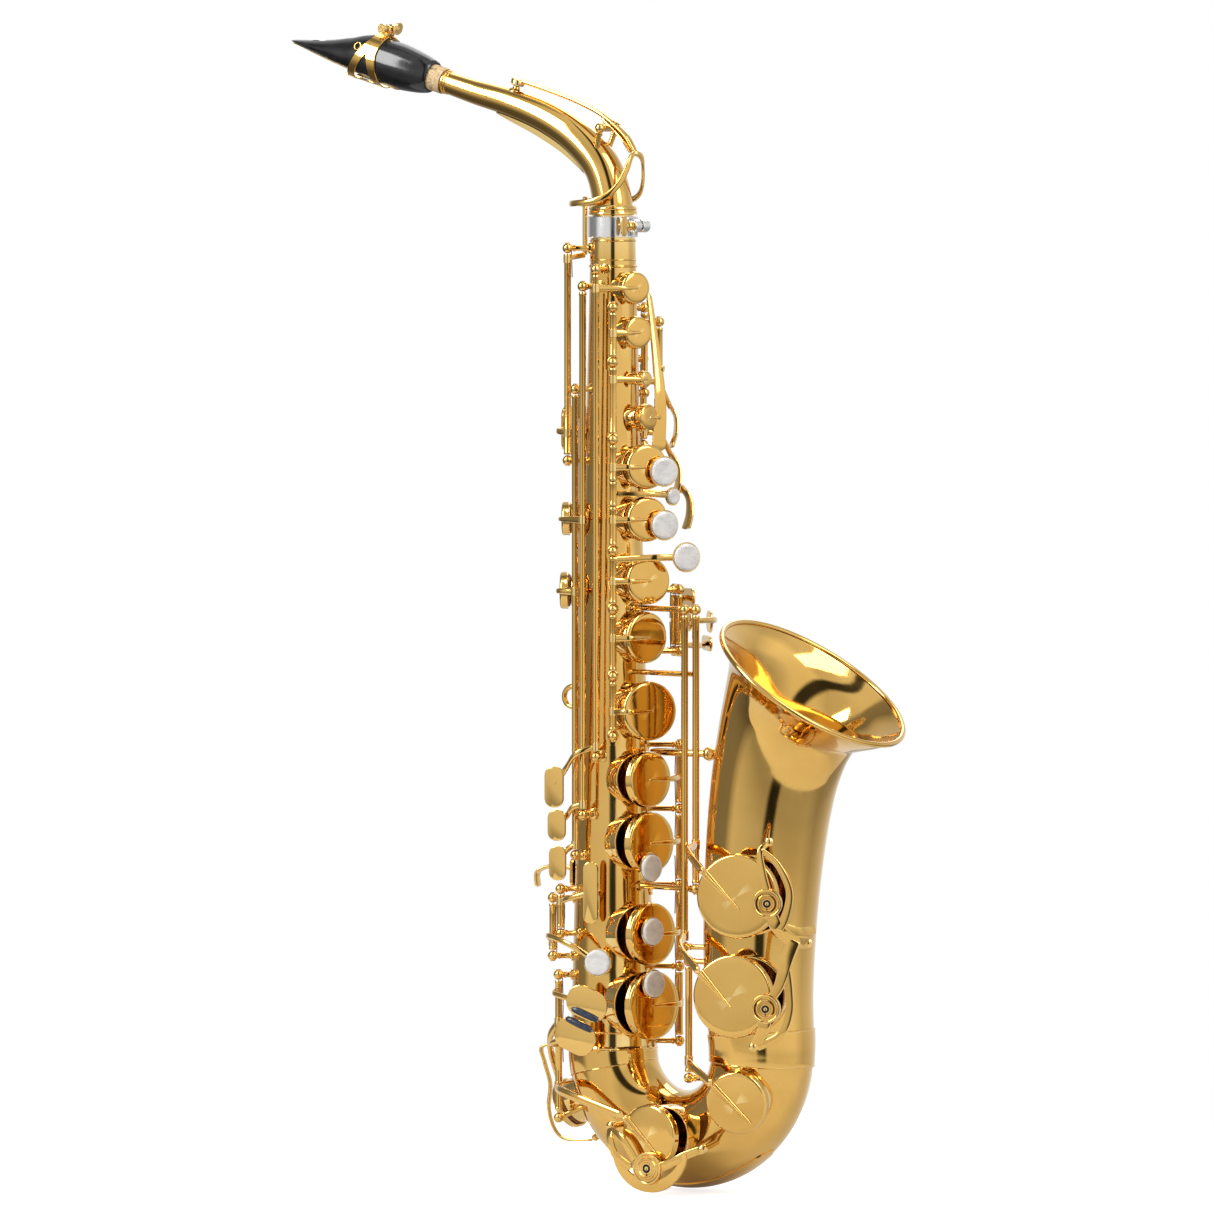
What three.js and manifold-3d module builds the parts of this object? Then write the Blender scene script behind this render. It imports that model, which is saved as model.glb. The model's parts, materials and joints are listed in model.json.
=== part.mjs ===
// Alto saxophone in millimetres, +Z up.
// The body tube stands on the Z axis, the bell is on its +X side and the player's left is +Y.
// Keys are built closed and then turned about their hinges to the place their springs hold them.
import * as THREE from 'three';
import { mergeVertices } from 'three/addons/utils/BufferGeometryUtils.js';
import Module from 'manifold-3d';

const wasm = await Module();
wasm.setup();

// ---------- driving dimensions ----------
const BODY = { bottom: 80, top: 558, topRadius: 13.5, taper: 0.0245, wall: 0.9 };
const BOW = { centreX: 51, centreZ: 84, bend: 51, startRadius: 25.4, lowRadius: 28.2, endRadius: 30 };
const BELL = { rimRadius: 60.4, rimBead: 1.7, wall: 1.3 };
const CHIMNEY = { rise: 6, wall: 1.3 };
const PAD = { thickness: 3.1, seatGap: 0.35, inset: 1.5 };
const CUP_THICKNESS = 2.6;
const ROD_RADIUS = 1.9;
const POST = { ball: 2.9, stem: 1.5 };
const FIT = 0.35;
const BUMPER_HEIGHT = 4.4;

const GOLD = { color: 0xcfa550, metalness: 1, roughness: 0.16 };
const SILVER = { color: 0xd0ccc8, metalness: 1, roughness: 0.2 };
const EBONITE = { color: 0x0b0b0d, metalness: 0, roughness: 0.18 };
const CORK = { color: 0xc9b48a, metalness: 0, roughness: 0.9 };
const CANE = { color: 0xd8c48c, metalness: 0, roughness: 0.6 };
const PEARL = { color: 0xd8d4d0, metalness: 0, roughness: 0.25 };
const LEATHER = { color: 0x5a3a22, metalness: 0, roughness: 0.7 };

const degrees = (angle) => angle * Math.PI / 180;
const vec = (x, y, z) => new THREE.Vector3(x, y, z);
const UP = vec(0, 0, 1);

// ---------- solids ----------
function toSolid(geometry) {
  const bare = geometry.clone();
  bare.deleteAttribute('normal');
  bare.deleteAttribute('uv');
  const merged = mergeVertices(bare, 1e-4);
  const vertProperties = new Float32Array(merged.attributes.position.array);
  const triVerts = new Uint32Array(merged.index.array);
  const solid = new wasm.Manifold(new wasm.Mesh({ numProp: 3, vertProperties, triVerts }));
  if (solid.volume() > 0) return solid;
  for (let i = 0; i < triVerts.length; i += 3) {
    [triVerts[i], triVerts[i + 1]] = [triVerts[i + 1], triVerts[i]];
  }
  return new wasm.Manifold(new wasm.Mesh({ numProp: 3, vertProperties, triVerts }));
}

function toGeometry(solid) {
  const mesh = solid.getMesh();
  const points = new Float32Array(mesh.vertProperties.length / mesh.numProp * 3);
  for (let i = 0; i < points.length / 3; i += 1) {
    for (let k = 0; k < 3; k += 1) points[3 * i + k] = mesh.vertProperties[mesh.numProp * i + k];
  }
  const geometry = new THREE.BufferGeometry();
  geometry.setAttribute('position', new THREE.BufferAttribute(points, 3));
  geometry.setIndex(new THREE.BufferAttribute(new Uint32Array(mesh.triVerts), 1));
  geometry.computeVertexNormals();
  return geometry;
}

const join = (...solids) => solids.flat().reduce((sum, next) => sum.add(next));
const cut = (solid, ...tools) => tools.flat().reduce((rest, tool) => rest.subtract(tool), solid);

// A matrix whose local Z runs along `direction` and whose origin is `origin`.
function frameAlong(origin, direction, side = null) {
  const z = direction.clone().normalize();
  let x = side ? side.clone() : (Math.abs(z.z) > 0.9 ? vec(1, 0, 0) : UP.clone());
  x.addScaledVector(z, -x.dot(z)).normalize();
  const y = z.clone().cross(x);
  return new THREE.Matrix4().makeBasis(x, y, z).setPosition(origin);
}

// A turned shape: pairs of radius and height along local Z.
function turned(profile, sides, placement = new THREE.Matrix4()) {
  const points = profile.map(([radius, height]) => new THREE.Vector2(radius, height));
  const geometry = new THREE.LatheGeometry(points, sides);
  geometry.rotateX(Math.PI / 2);
  geometry.applyMatrix4(placement);
  return toSolid(geometry);
}

function rod(from, to, radius = ROD_RADIUS, sides = 10, endRadius = radius) {
  const length = from.distanceTo(to);
  const placement = frameAlong(from, to.clone().sub(from));
  return turned([[0, 0], [radius, 0], [endRadius, length], [0, length]], sides, placement);
}

function ring(centre, direction, inner, outer, height, sides) {
  const profile = [[inner, 0], [outer, 0], [outer, height], [inner, height], [inner, 0]];
  return turned(profile, sides, frameAlong(centre, direction));
}

// A tapered bar of diamond section along a smooth path; `width` lies along `side`, `depth` across it.
function bar(points, width, depth, { side = UP, steps = 4, endWidth = width, endDepth = depth } = {}) {
  const path = new THREE.CatmullRomCurve3(points);
  const geometry = new THREE.CylinderGeometry(1, 1, 1, 4, steps);
  const position = geometry.attributes.position;
  for (let i = 0; i < position.count; i += 1) {
    const along = THREE.MathUtils.clamp(position.getY(i) + 0.5, 0, 1);
    const centre = path.getPointAt(along);
    const tangent = path.getTangentAt(along);
    const across = side.clone().addScaledVector(tangent, -side.dot(tangent)).normalize();
    const out = tangent.clone().cross(across);
    const halfWidth = THREE.MathUtils.lerp(width, endWidth, along) / 2;
    const halfDepth = THREE.MathUtils.lerp(depth, endDepth, along) / 2;
    centre.addScaledVector(across, position.getX(i) * halfWidth);
    centre.addScaledVector(out, position.getZ(i) * halfDepth);
    position.setXYZ(i, centre.x, centre.y, centre.z);
  }
  return toSolid(geometry);
}

// A flat touch piece with rounded corners, lying in the plane square to `normal`.
function plate(centre, normal, long, length, width, thickness = 1.6, corner = 0.45) {
  const radius = Math.min(length, width) * corner;
  const x = length / 2 - radius;
  const y = width / 2 - radius;
  const outline = new THREE.Shape();
  outline.absarc(x, y, radius, 0, Math.PI / 2);
  outline.absarc(-x, y, radius, Math.PI / 2, Math.PI);
  outline.absarc(-x, -y, radius, Math.PI, 1.5 * Math.PI);
  outline.absarc(x, -y, radius, 1.5 * Math.PI, 2 * Math.PI);
  const geometry = new THREE.ExtrudeGeometry(
    outline, { depth: thickness, bevelEnabled: false, curveSegments: 2 });
  geometry.applyMatrix4(frameAlong(centre, normal, long));
  return toSolid(geometry);
}

// A round bar of changing radius carried along a centreline in the XZ plane, with flat ends.
function bentSolid(curve, radiusAt, sides, steps) {
  const geometry = new THREE.CylinderGeometry(1, 1, 1, sides, steps);
  const position = geometry.attributes.position;
  for (let i = 0; i < position.count; i += 1) {
    const along = THREE.MathUtils.clamp(position.getY(i) + 0.5, 0, 1);
    const tangent = curve.getTangentAt(along);
    const point = curve.getPointAt(along);
    const radius = radiusAt(along);
    point.addScaledVector(vec(tangent.z, 0, -tangent.x), position.getX(i) * radius);
    point.y += position.getZ(i) * radius;
    position.setXYZ(i, point.x, point.y, point.z);
  }
  return toSolid(geometry);
}

// The hollow of a bent tube, run past both ends so that it cuts them open.
function bentHollow(curve, radiusAt, wall, sides, steps) {
  const inner = (along) => radiusAt(along) - wall;
  const start = curve.getPointAt(0);
  const end = curve.getPointAt(1);
  const before = start.clone().addScaledVector(curve.getTangentAt(0), -4);
  const after = end.clone().addScaledVector(curve.getTangentAt(1), 4);
  return join(bentSolid(curve, inner, sides, steps),
    rod(before, start, inner(0), sides), rod(end, after, inner(1), sides));
}

// ---------- places on the horn ----------
const bodyRadius = (z) => BODY.topRadius + BODY.taper * (542 - z);
const outward = (angle) => vec(Math.cos(degrees(angle)), Math.sin(degrees(angle)), 0);
const polar = (angle, distance, z) => outward(angle).multiplyScalar(distance).add(vec(0, 0, z));
const bowPoint = (angle) => vec(
  BOW.centreX + BOW.bend * Math.cos(degrees(angle)), 0, BOW.centreZ + BOW.bend * Math.sin(degrees(angle)));

const BELL_LINE = new THREE.CatmullRomCurve3([
  vec(102, 0, 84.8), vec(102, 0, 91), vec(100.1, 0, 118), vec(100.5, 0, 155), vec(103.1, 0, 194),
  vec(107.8, 0, 231), vec(113.2, 0, 256), vec(122.5, 0, 281), vec(136.2, 0, 301),
], false, 'centripetal');
const BELL_RADII = [
  [0, 30.2], [0.12, 31.3], [0.5, 34.3], [0.67, 36], [0.78, 37.8], [0.87, 41], [0.94, 48], [1, 60.4]];
function bellRadius(along) {
  const next = BELL_RADII.findIndex(([at]) => at >= along);
  if (next <= 0) return BELL_RADII[0][1];
  const [from, low] = BELL_RADII[next - 1];
  const [to, high] = BELL_RADII[next];
  return THREE.MathUtils.lerp(low, high, (along - from) / (to - from));
}
function bellCentreX(z) {
  let low = 0;
  let high = 1;
  for (let i = 0; i < 30; i += 1) {
    const middle = (low + high) / 2;
    if (BELL_LINE.getPointAt(middle).z < z) low = middle; else high = middle;
  }
  return BELL_LINE.getPointAt(low).x;
}

// A tone hole: foot on the tube's centreline, outward direction, cup radius and the rim's distance.
function hole(foot, direction, cupRadius, rim) {
  return { foot, direction: direction.clone().normalize(), cupRadius, rim };
}
const bodyHole = (z, angle, cupRadius, rise = CHIMNEY.rise) =>
  hole(vec(0, 0, z), outward(angle), cupRadius, bodyRadius(z) + rise);
const bellHole = (z, angle, cupRadius, tubeRadius) =>
  hole(vec(bellCentreX(z), 0, z), outward(angle), cupRadius, tubeRadius + CHIMNEY.rise + 1.5);
const onAxis = (h, distance) => h.foot.clone().addScaledVector(h.direction, distance);
const holeSides = (h) => (h.cupRadius > 12 ? 10 : 6);

function chimney(h) {
  return rod(onAxis(h, h.rim - CHIMNEY.rise - 6), onAxis(h, h.rim), h.cupRadius - 1.4, holeSides(h));
}
function chimneyBore(h) {
  return rod(onAxis(h, h.rim - CHIMNEY.rise - 10), onAxis(h, h.rim + 3),
    h.cupRadius - 1.4 - CHIMNEY.wall, holeSides(h));
}

const HOLES = {
  b: bodyHole(424.9, -18, 13.2), a: bodyHole(394.4, -18, 13.2), g: bodyHole(358.6, -18, 14),
  gsharp: bodyHole(325.3, -18, 15.2), low_g: bodyHole(282.6, -18, 17.4),
  fsharp: bodyHole(242.8, -25, 16.5), f: bodyHole(205.9, -25, 18.2), e: bodyHole(152.7, -25, 18.4),
  d: bodyHole(111.2, -25, 20.2),
  high_e: bodyHole(529, -27, 9.6), high_fsharp: bodyHole(503, -24, 9.6),
  octave_vent: bodyHole(476, -14, 4.8, 7), front_f: bodyHole(453.5, -9, 8),
  palm_f: bodyHole(505, 118, 9.5), palm_eb: bodyHole(474, 118, 9.5), palm_d: bodyHole(442, 118, 9.5),
  side_c: bodyHole(394, -150, 10), side_bb: bodyHole(352, -150, 11),
};
const HOLES_LOW = {
  low_c: hole(vec(56, 0, 37.5), vec(0, -1, 0), 19, 28 + CHIMNEY.rise + 1.5),
  low_eb: hole(bowPoint(-157), vec(-0.92, 0, -0.39), 15, 26.3 + CHIMNEY.rise),
  low_csharp: hole(bowPoint(-21), vec(0.25, -0.955, -0.16), 18.5, 29 + CHIMNEY.rise + 1),
  low_b: bellHole(179.5, -67, 24.5, 33),
  low_bb: bellHole(121.5, -69, 24.2, 31.6),
};

// A point by the low B hole: to its right, above it, and out from the bell's centreline.
function nearB(right, up, level) {
  const { low_b: h } = HOLES_LOW;
  return onAxis(h, level).addScaledVector(UP.clone().cross(h.direction), right).add(vec(0, 0, up));
}

// ---------- hinge lines, each a vertical line given by x and y ----------
const LINES = {
  left_stack: polar(-58, 31, 0), right_stack: polar(22, 39.5, 0),
  side_outer: vec(-1.5, -31, 0), side_inner: vec(-10, -25.5, 0), side_front: vec(7.5, -31, 0),
  octave: vec(-22.5, -14, 0), palm_f: polar(72, 24, 0), palm_eb: polar(84, 29, 0), palm_d: polar(95, 34, 0),
  front_f: polar(33, 27, 0), bell_outer: vec(65.5, -14, 0), bell_inner: vec(60, -17.5, 0),
  low_csharp: vec(62, -16, 0), pinky: vec(-25, -20, 0),
  trill: vec(-29, -20, 0), fsharp_touch: vec(-18, -29, 0),
  pinky_table: vec(27, 30, 0), gsharp_table: vec(21, 34, 0),
};
const at = (line, z) => LINES[line].clone().setZ(z);

// Posts stand on the body tube: line, height, and how far the stem's foot lies from the body's axis.
const POSTS = [
  ['left_stack', 268], ['left_stack', 303], ['left_stack', 342], ['left_stack', 376], ['left_stack', 441],
  ['left_stack', 486], ['left_stack', 518],
  ['right_stack', 262], ['right_stack', 224.5], ['right_stack', 180], ['right_stack', 132.2],
  ['right_stack', 88.5], ['side_outer', 530], ['side_outer', 222], ['side_inner', 470], ['side_inner', 198],
  ['side_front', 540], ['side_front', 256], ['octave', 552], ['octave', 428],
  ['palm_f', 517], ['palm_f', 467], ['palm_eb', 487], ['palm_eb', 436.5], ['palm_d', 455], ['palm_d', 402],
  ['front_f', 509], ['front_f', 447], ['bell_outer', 342.5], ['bell_inner', 342.5], ['bell_outer', 180],
  ['trill', 172], ['trill', 138], ['fsharp_touch', 178], ['fsharp_touch', 152],
  ['pinky', 127], ['pinky', 92.6], ['pinky_table', 352], ['pinky_table', 316],
  ['gsharp_table', 352], ['gsharp_table', 316],
];
// A turned stem from `foot` whose round head is centred on `head`.
function pillar(foot, head) {
  const reach = foot.distanceTo(head);
  const { ball, stem } = POST;
  const profile = [
    [0, 0], [stem, 0], [stem, reach - 0.8 * ball], [ball, reach - 0.8 * ball], [ball, reach + 0.8 * ball],
    [0, reach + 0.8 * ball],
  ];
  return turned(profile, 4, frameAlong(foot, head.clone().sub(foot)));
}
function post(line, z, footRadius = bodyRadius(z) - 2) {
  const head = at(line, z);
  return pillar(head.clone().setZ(0).setLength(footRadius).setZ(z), head);
}

const model = new THREE.Group();

function addMesh(name, solid, look, parent = model) {
  const material = new THREE.MeshStandardMaterial(look);
  const mesh = new THREE.Mesh(toGeometry(solid), material);
  mesh.name = name;
  parent.add(mesh);
  return mesh;
}

// A moving body: a group whose origin is on its joint, turned from the closed place to where it rests.
function addBody(name, origin, axis, rest, limits, parent = model) {
  const group = new THREE.Group();
  group.position.copy(origin);
  if (parent !== model) group.position.sub(parent.userData.origin);
  group.quaternion.setFromAxisAngle(axis, degrees(rest));
  group.userData = { body: name, origin: origin.clone(), axis: axis.clone(), limits };
  parent.add(group);
  return group;
}
const inBody = (group, solid) => {
  const { x, y, z } = group.userData.origin;
  return solid.translate([-x, -y, -z]);
};

// ---------- shells ----------
function bodyTube() {
  const low = BOW.centreZ + 0.4;
  const cone = (inset, past) => turned([
    [0, low - past], [bodyRadius(low) - inset, low - past],
    [bodyRadius(BODY.top) - inset, BODY.top + past], [0, BODY.top + past],
  ], 14);
  const holes = Object.values(HOLES);
  const posts = POSTS.map(([line, z]) => post(line, z));
  const saddles = [saddle('bell_outer', 305), saddle('bell_inner', 305)];
  const outside = join(cone(0, 0), holes.map(chimney), posts, saddles);
  return cut(outside, cone(BODY.wall, 5), holes.map(chimneyBore));
}

// A stem that steadies a long key tube without holding its end.
function saddle(line, z) {
  const head = at(line, z);
  const reach = head.clone().setZ(0).length();
  const angle = THREE.MathUtils.radToDeg(Math.atan2(head.y, head.x));
  return rod(polar(angle, bodyRadius(z) - 2, z), polar(angle, reach - ROD_RADIUS - FIT, z), POST.stem, 4);
}

class BowCurve extends THREE.Curve {
  getPoint(t, target = new THREE.Vector3()) {
    return target.copy(bowPoint(180 + 180 * t));
  }
}
const bowRadiusAt = (t) => (t < 0.5
  ? THREE.MathUtils.lerp(BOW.startRadius, BOW.lowRadius, 2 * t)
  : THREE.MathUtils.lerp(BOW.lowRadius, BOW.endRadius, 2 * t - 1));

function bow() {
  const holes = [HOLES_LOW.low_c, HOLES_LOW.low_eb, HOLES_LOW.low_csharp];
  const pinkyFoot = at('pinky', 43);
  const sharpFoot = at('low_csharp', 70);
  const outside = join(
    bentSolid(new BowCurve(), bowRadiusAt, 16, 8),
    holes.map(chimney),
    pillar(pinkyFoot.clone().lerp(bowPoint(209), 0.6), pinkyFoot),
    pillar(vec(78, -12, 70), sharpFoot),
    rod(vec(28, -16, 42.6), vec(28, -46, 42.6), 1.6, 5),
    rod(vec(86, -14, 36), vec(90, -46, 31.7), 1.6, 5),
    rod(vec(-16, 5, 73), vec(-31, 11, 79), 1.6, 5),
    rod(vec(0, 5, 42), vec(-18, 8, 29), 1.6, 5),
  );
  return cut(outside, bentHollow(new BowCurve(), bowRadiusAt, BODY.wall, 16, 8), holes.map(chimneyBore));
}

function bell() {
  const holes = [HOLES_LOW.low_b, HOLES_LOW.low_bb];
  const bead = new THREE.TorusGeometry(BELL.rimRadius - 0.4, BELL.rimBead, 5, 20);
  bead.applyMatrix4(frameAlong(BELL_LINE.getPointAt(1), BELL_LINE.getTangentAt(1), vec(0, 1, 0)));
  const outside = join(
    bentSolid(BELL_LINE, bellRadius, 20, 9),
    holes.map(chimney),
    pillar(vec(82, -14, 146.5), at('bell_inner', 146.5)),
    pillar(vec(82, -14, 138), at('low_csharp', 138)),
    rod(nearB(7.5, 32, 31.5), nearB(12.5, 32, 56), 1.6, 5),
    rod(nearB(23, -27, 21), nearB(33, -27, 40.6), 1.6, 5),
    rod(nearB(-1, -82, 27.5), nearB(3, -84, 53.6), 1.6, 5),
  );
  const opened = cut(outside, bentHollow(BELL_LINE, bellRadius, BELL.wall, 20, 9), holes.map(chimneyBore));
  return join(opened, toSolid(bead));
}

function shells() {
  addMesh('body_tube', bodyTube(), GOLD);
  addMesh('bow', bow(), GOLD);
  addMesh('bell', bell(), GOLD);
  const bodyInner = BOW.startRadius + 1;
  const bodyRing = [
    [bodyInner, 81.5], [bodyInner + 1.2, 81.5], [bodyInner + 1.2, 86.4], [bodyInner, 86.4],
    [bodyInner, 81.5]];
  addMesh('body_bow_ring', turned(bodyRing, 20), GOLD);
  const bellInner = BOW.endRadius + 2;
  const place = new THREE.Matrix4().setPosition(2 * BOW.bend, 0, 0);
  const bellRing = [
    [bellInner, 81], [bellInner + 1.2, 81], [bellInner + 1.2, 88], [bellInner, 88], [bellInner, 81]];
  addMesh('bell_bow_ring', turned(bellRing, 20, place), GOLD);
}

// ---------- key parts ----------
const levels = (h) => {
  const pad = h.rim + PAD.seatGap;
  const cup = pad + PAD.thickness + 0.4;
  return { pad, cup, skirt: cup - 2, top: cup + 0.6 + CUP_THICKNESS };
};
// A point beside a hole's axis: `lateral` runs level round the tube, `up` along it.
function beside(h, lateral, up, level) {
  const across = UP.clone().cross(h.direction).normalize();
  const along = h.direction.clone().cross(across);
  return onAxis(h, level).addScaledVector(across, lateral).addScaledVector(along, up);
}
function cupSolid(h, sides, ownPad) {
  const { pad, cup, skirt, top } = levels(h);
  const radius = h.cupRadius;
  const inner = radius - 0.9;
  const seat = ownPad
    ? [[0, cup], [inner, cup]]
    : [[0, pad], [radius - PAD.inset, pad], [radius - PAD.inset, skirt]];
  const lip = ownPad ? [[inner, skirt], [radius, skirt]] : [[radius, skirt]];
  const crown = [[radius, top - 1.2], [radius - 1.6, top], [0, top]];
  return turned([...seat, ...lip, ...crown], sides, frameAlong(h.foot, h.direction));
}
function padSolid(h, sides) {
  const { pad } = levels(h);
  const radius = h.cupRadius - PAD.inset;
  const profile = [[0, pad], [radius, pad], [radius, pad + PAD.thickness], [0, pad + PAD.thickness]];
  return turned(profile, sides, frameAlong(h.foot, h.direction));
}
// The arm climbs from the hinge line over the cup's edge to its middle.
function cupArm(h, line, z, width = 4.6, endWidth = 2.2) {
  const start = at(line, z);
  const { top } = levels(h);
  const across = UP.clone().cross(h.direction).normalize();
  const reach = start.clone().sub(h.foot).dot(across);
  const rise = start.clone().sub(h.foot).dot(h.direction);
  const over = reach - Math.sign(reach) * Math.min(5, 0.3 * Math.abs(reach));
  const middle = beside(h, over, 0, Math.max(top + 0.4, rise)).setZ(z);
  const tip = beside(h, 0, 0, top + 0.1);
  return bar([start, middle, tip], width, 2.6, { endWidth, endDepth: 1.8, steps: 4 });
}

// Opening turns a key's cup away from its hole; the axis sign makes that turn positive.
function openingAxis(h, line) {
  const lever = onAxis(h, h.rim).sub(at(line, h.foot.z));
  const lift = h.direction.dot(UP.clone().cross(lever));
  return vec(0, 0, Math.sign(lift));
}

function addKey(name, spec) {
  const { line, tube, hole: h, open, standsOpen = false, ownPad = false, armZ, extras = [] } = spec;
  const axis = spec.axis || openingAxis(h, line);
  const origin = at(line, (tube[0] + tube[1]) / 2);
  const limits = standsOpen ? [-open, 0] : [0, open];
  const group = addBody(name, origin, axis, standsOpen ? open : 0, limits);
  group.userData.follows = spec.follows;
  group.userData.ratio = spec.ratio ?? 1;
  const solids = [rod(at(line, tube[0]), at(line, tube[1]), ROD_RADIUS, 6)];
  if (h) {
    const sides = h.cupRadius > 12 ? 12 : 8;
    solids.push(cupSolid(h, sides, ownPad), spec.arm || cupArm(h, line, armZ ?? h.foot.z));
    const padName = `${name.replace('_key', '')}_pad`;
    if (ownPad) addMesh(padName, inBody(group, padSolid(h, sides)), LEATHER, group);
  }
  addMesh(name, inBody(group, join(solids, extras)), GOLD, group);
  return group;
}

// A pearl touch: a shallow metal cup on a stalk, holding a domed pearl.
function addPearl(group, name, centre, direction, radius) {
  const seat = centre.clone().addScaledVector(direction, 0.5);
  const dome = [[0, 0], [radius, 0], [radius, 1], [0.6 * radius, 1.8], [0, 1.8]];
  addMesh(name, inBody(group, turned(dome, 8, frameAlong(seat, direction))), PEARL, group);
}
const PEARL_RISE = 2.2;
function pearlHolder(centre, direction, radius, rise = 0.2) {
  const profile = [[0, -1.8], [0.7 * radius, -1.8], [radius + 0.8, -0.4], [radius + 0.8, rise], [0, rise]];
  return turned(profile, 8, frameAlong(centre, direction));
}

// ---------- stack keys ----------
const PEARL_LEVEL = 3.6;
const STACK = [
  ['b_key', 'left_stack', [417, 437.6], 'b', 15, { lateral: 8.5, up: -2.6, radius: 8.2 }],
  ['a_key', 'left_stack', [379.4, 401.6], 'a', 14, { lateral: 8.5, up: -3.4, radius: 8.2 }],
  ['g_key', 'left_stack', [345.4, 372.6], 'g', 14, null],
  ['low_g_key', 'left_stack', [271.4, 299.6], 'low_g', 14, null],
  ['fsharp_key', 'right_stack', [227.9, 258.6], 'fsharp', 10, null],
  ['f_key', 'right_stack', [183.4, 221.1], 'f', 10, { lateral: -5, up: -14, radius: 7.8 }],
  ['e_key', 'right_stack', [135.6, 176.6], 'e', 10, { lateral: -5, up: 2, radius: 7.8 }],
  ['d_key', 'right_stack', [91.9, 128.8], 'd', 10, { lateral: -5, up: 13, radius: 7.8 }],
];
function stackKeys() {
  for (const [name, line, tube, holeName, open, pearl] of STACK) {
    const h = HOLES[holeName];
    const extras = [];
    const level = levels(h).top + PEARL_LEVEL;
    if (pearl) {
      const centre = beside(h, pearl.lateral, pearl.up, level);
      const root = beside(h, pearl.lateral * 0.4, pearl.up * 0.4, levels(h).top - 0.6);
      const underside = centre.clone().addScaledVector(h.direction, -1);
      extras.push(pearlHolder(centre, h.direction, pearl.radius), rod(root, underside, 1.7, 6));
    }
    if (name === 'g_key') extras.push(...gTouch(h));
    const follows = { low_g_key: 'g_key', fsharp_key: 'f_key' }[name];
    const ownPad = ['e_key', 'd_key'].includes(name);
    const group = addKey(name, { line, tube, hole: h, open, standsOpen: true, ownPad, extras, follows });
    if (pearl) {
      const centre = beside(h, pearl.lateral, pearl.up, level);
      addPearl(group, name.replace('_key', '_pearl'), centre, h.direction, pearl.radius);
    }
    if (name === 'g_key') addPearl(group, 'g_pearl', G_TOUCH.centre, G_TOUCH.direction, G_TOUCH.radius);
  }
}
const G_TOUCH = { centre: vec(47, 3.5, 372.5), direction: outward(-20), radius: 8 };
function gTouch(h) {
  const start = at('left_stack', 371);
  const crest = beside(h, 0, 0, 41).setZ(372.5);
  return [
    bar([start, crest, G_TOUCH.centre.clone().addScaledVector(G_TOUCH.direction, -1.4)], 4, 2.2),
    pearlHolder(G_TOUCH.centre, G_TOUCH.direction, G_TOUCH.radius),
  ];
}
function bisKey() {
  const origin = HOLES.a;
  const centre = vec(38.6, 3.6, 407.5);
  const direction = outward(-18);
  const start = at('left_stack', 409.3);
  const crest = beside(origin, 1, 0, 37).setZ(409);
  const extras = [bar([start, crest, centre.clone().addScaledVector(direction, -1.3)], 3.4, 2),
    pearlHolder(centre, direction, 4.6, PEARL_RISE)];
  const group = addKey('bis_key', {
    line: 'left_stack', tube: [402.2, 416.4], axis: vec(0, 0, 1), open: 5, extras,
  });
  group.userData.limits = [-5, 0];
}

// ---------- keys worked by long tubes, palms and little fingers ----------
// A touch piece: a rounded plate on an arm that leaves the key's tube.
function touch(path, centre, normal, long, length, width, armWidth = 3.4) {
  const under = centre.clone().addScaledVector(normal, 0.6);
  return [
    plate(centre, normal, long, length, width),
    bar([...path, under], armWidth, 2.2),
  ];
}

function sideKeys() {
  const facing = outward(-80);
  addKey('high_e_key', {
    line: 'side_front', tube: [259.3, 536.7], hole: HOLES.high_e, armZ: 529, open: 8,
    extras: touch([at('side_front', 262), vec(-2, -37, 258), vec(-12, -32.5, 249)],
      vec(-19.5, -33, 237.9), facing, UP, 24.2, 12),
  });
  addKey('side_c_key', {
    line: 'side_outer', tube: [225.3, 526.7], hole: HOLES.side_c, open: 8,
    extras: touch([at('side_outer', 228), vec(-8, -32, 226), vec(-13, -30, 221)],
      vec(-17.7, -33, 215.6), facing, UP, 18.4, 11.4),
  });
  addKey('side_bb_key', {
    line: 'side_inner', tube: [201.3, 466.7], hole: HOLES.side_bb, open: 8,
    extras: touch([at('side_inner', 204), vec(-13, -30.2, 201)],
      vec(-17.1, -33, 193.4), facing, UP, 20.2, 10.8),
  });
}

function upperKeys() {
  addKey('high_fsharp_key', {
    line: 'left_stack', tube: [489.3, 514.7], hole: HOLES.high_fsharp, open: 9,
    follows: 'high_fsharp_touch', ratio: 1.5,
  });
  const plateNormal = outward(-78);
  addKey('high_fsharp_touch', {
    line: 'fsharp_touch', tube: [155.3, 174.7], axis: vec(0, 0, -1), open: 6,
    extras: touch(
      [at('fsharp_touch', 171), vec(-8, -37, 173)], vec(7, -35.2, 177), plateNormal, UP, 36, 9.4),
  });
  addKey('octave_vent_key', {
    line: 'left_stack', tube: [444.3, 482.7], hole: HOLES.octave_vent, open: 8,
    follows: 'octave_lever', ratio: 1.6,
  });
  addKey('front_f_key', {
    line: 'front_f', tube: [450.3, 505.7], hole: HOLES.front_f, open: 9,
    extras: [
      bar([vec(27, 7, 514), vec(33, 5, 488), vec(37.5, 3.5, 462), vec(37, 2.5, 441)], 3.6, 1.8,
        { side: vec(0, 1, 0), endWidth: 9 }),
      bar([at('front_f', 482), vec(30, 12, 482), vec(34, 5, 481)], 4, 2.2),
    ],
  });
  const pin = vec(-20.5, 2, 548);
  addKey('octave_lever', {
    line: 'octave', tube: [431.3, 548.7], axis: vec(0, 0, 1), open: 5,
    extras: [
      ...touch([at('octave', 444), vec(-31, -11, 445)], vec(-31, 2, 446), vec(-1, 0, 0), UP, 28, 15),
      bar([at('octave', 546), vec(-23, -6, 547), pin], 3.4, 2.4),
      rod(pin, pin.clone().setZ(582), 1.5, 8),
    ],
  });
}

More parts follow.
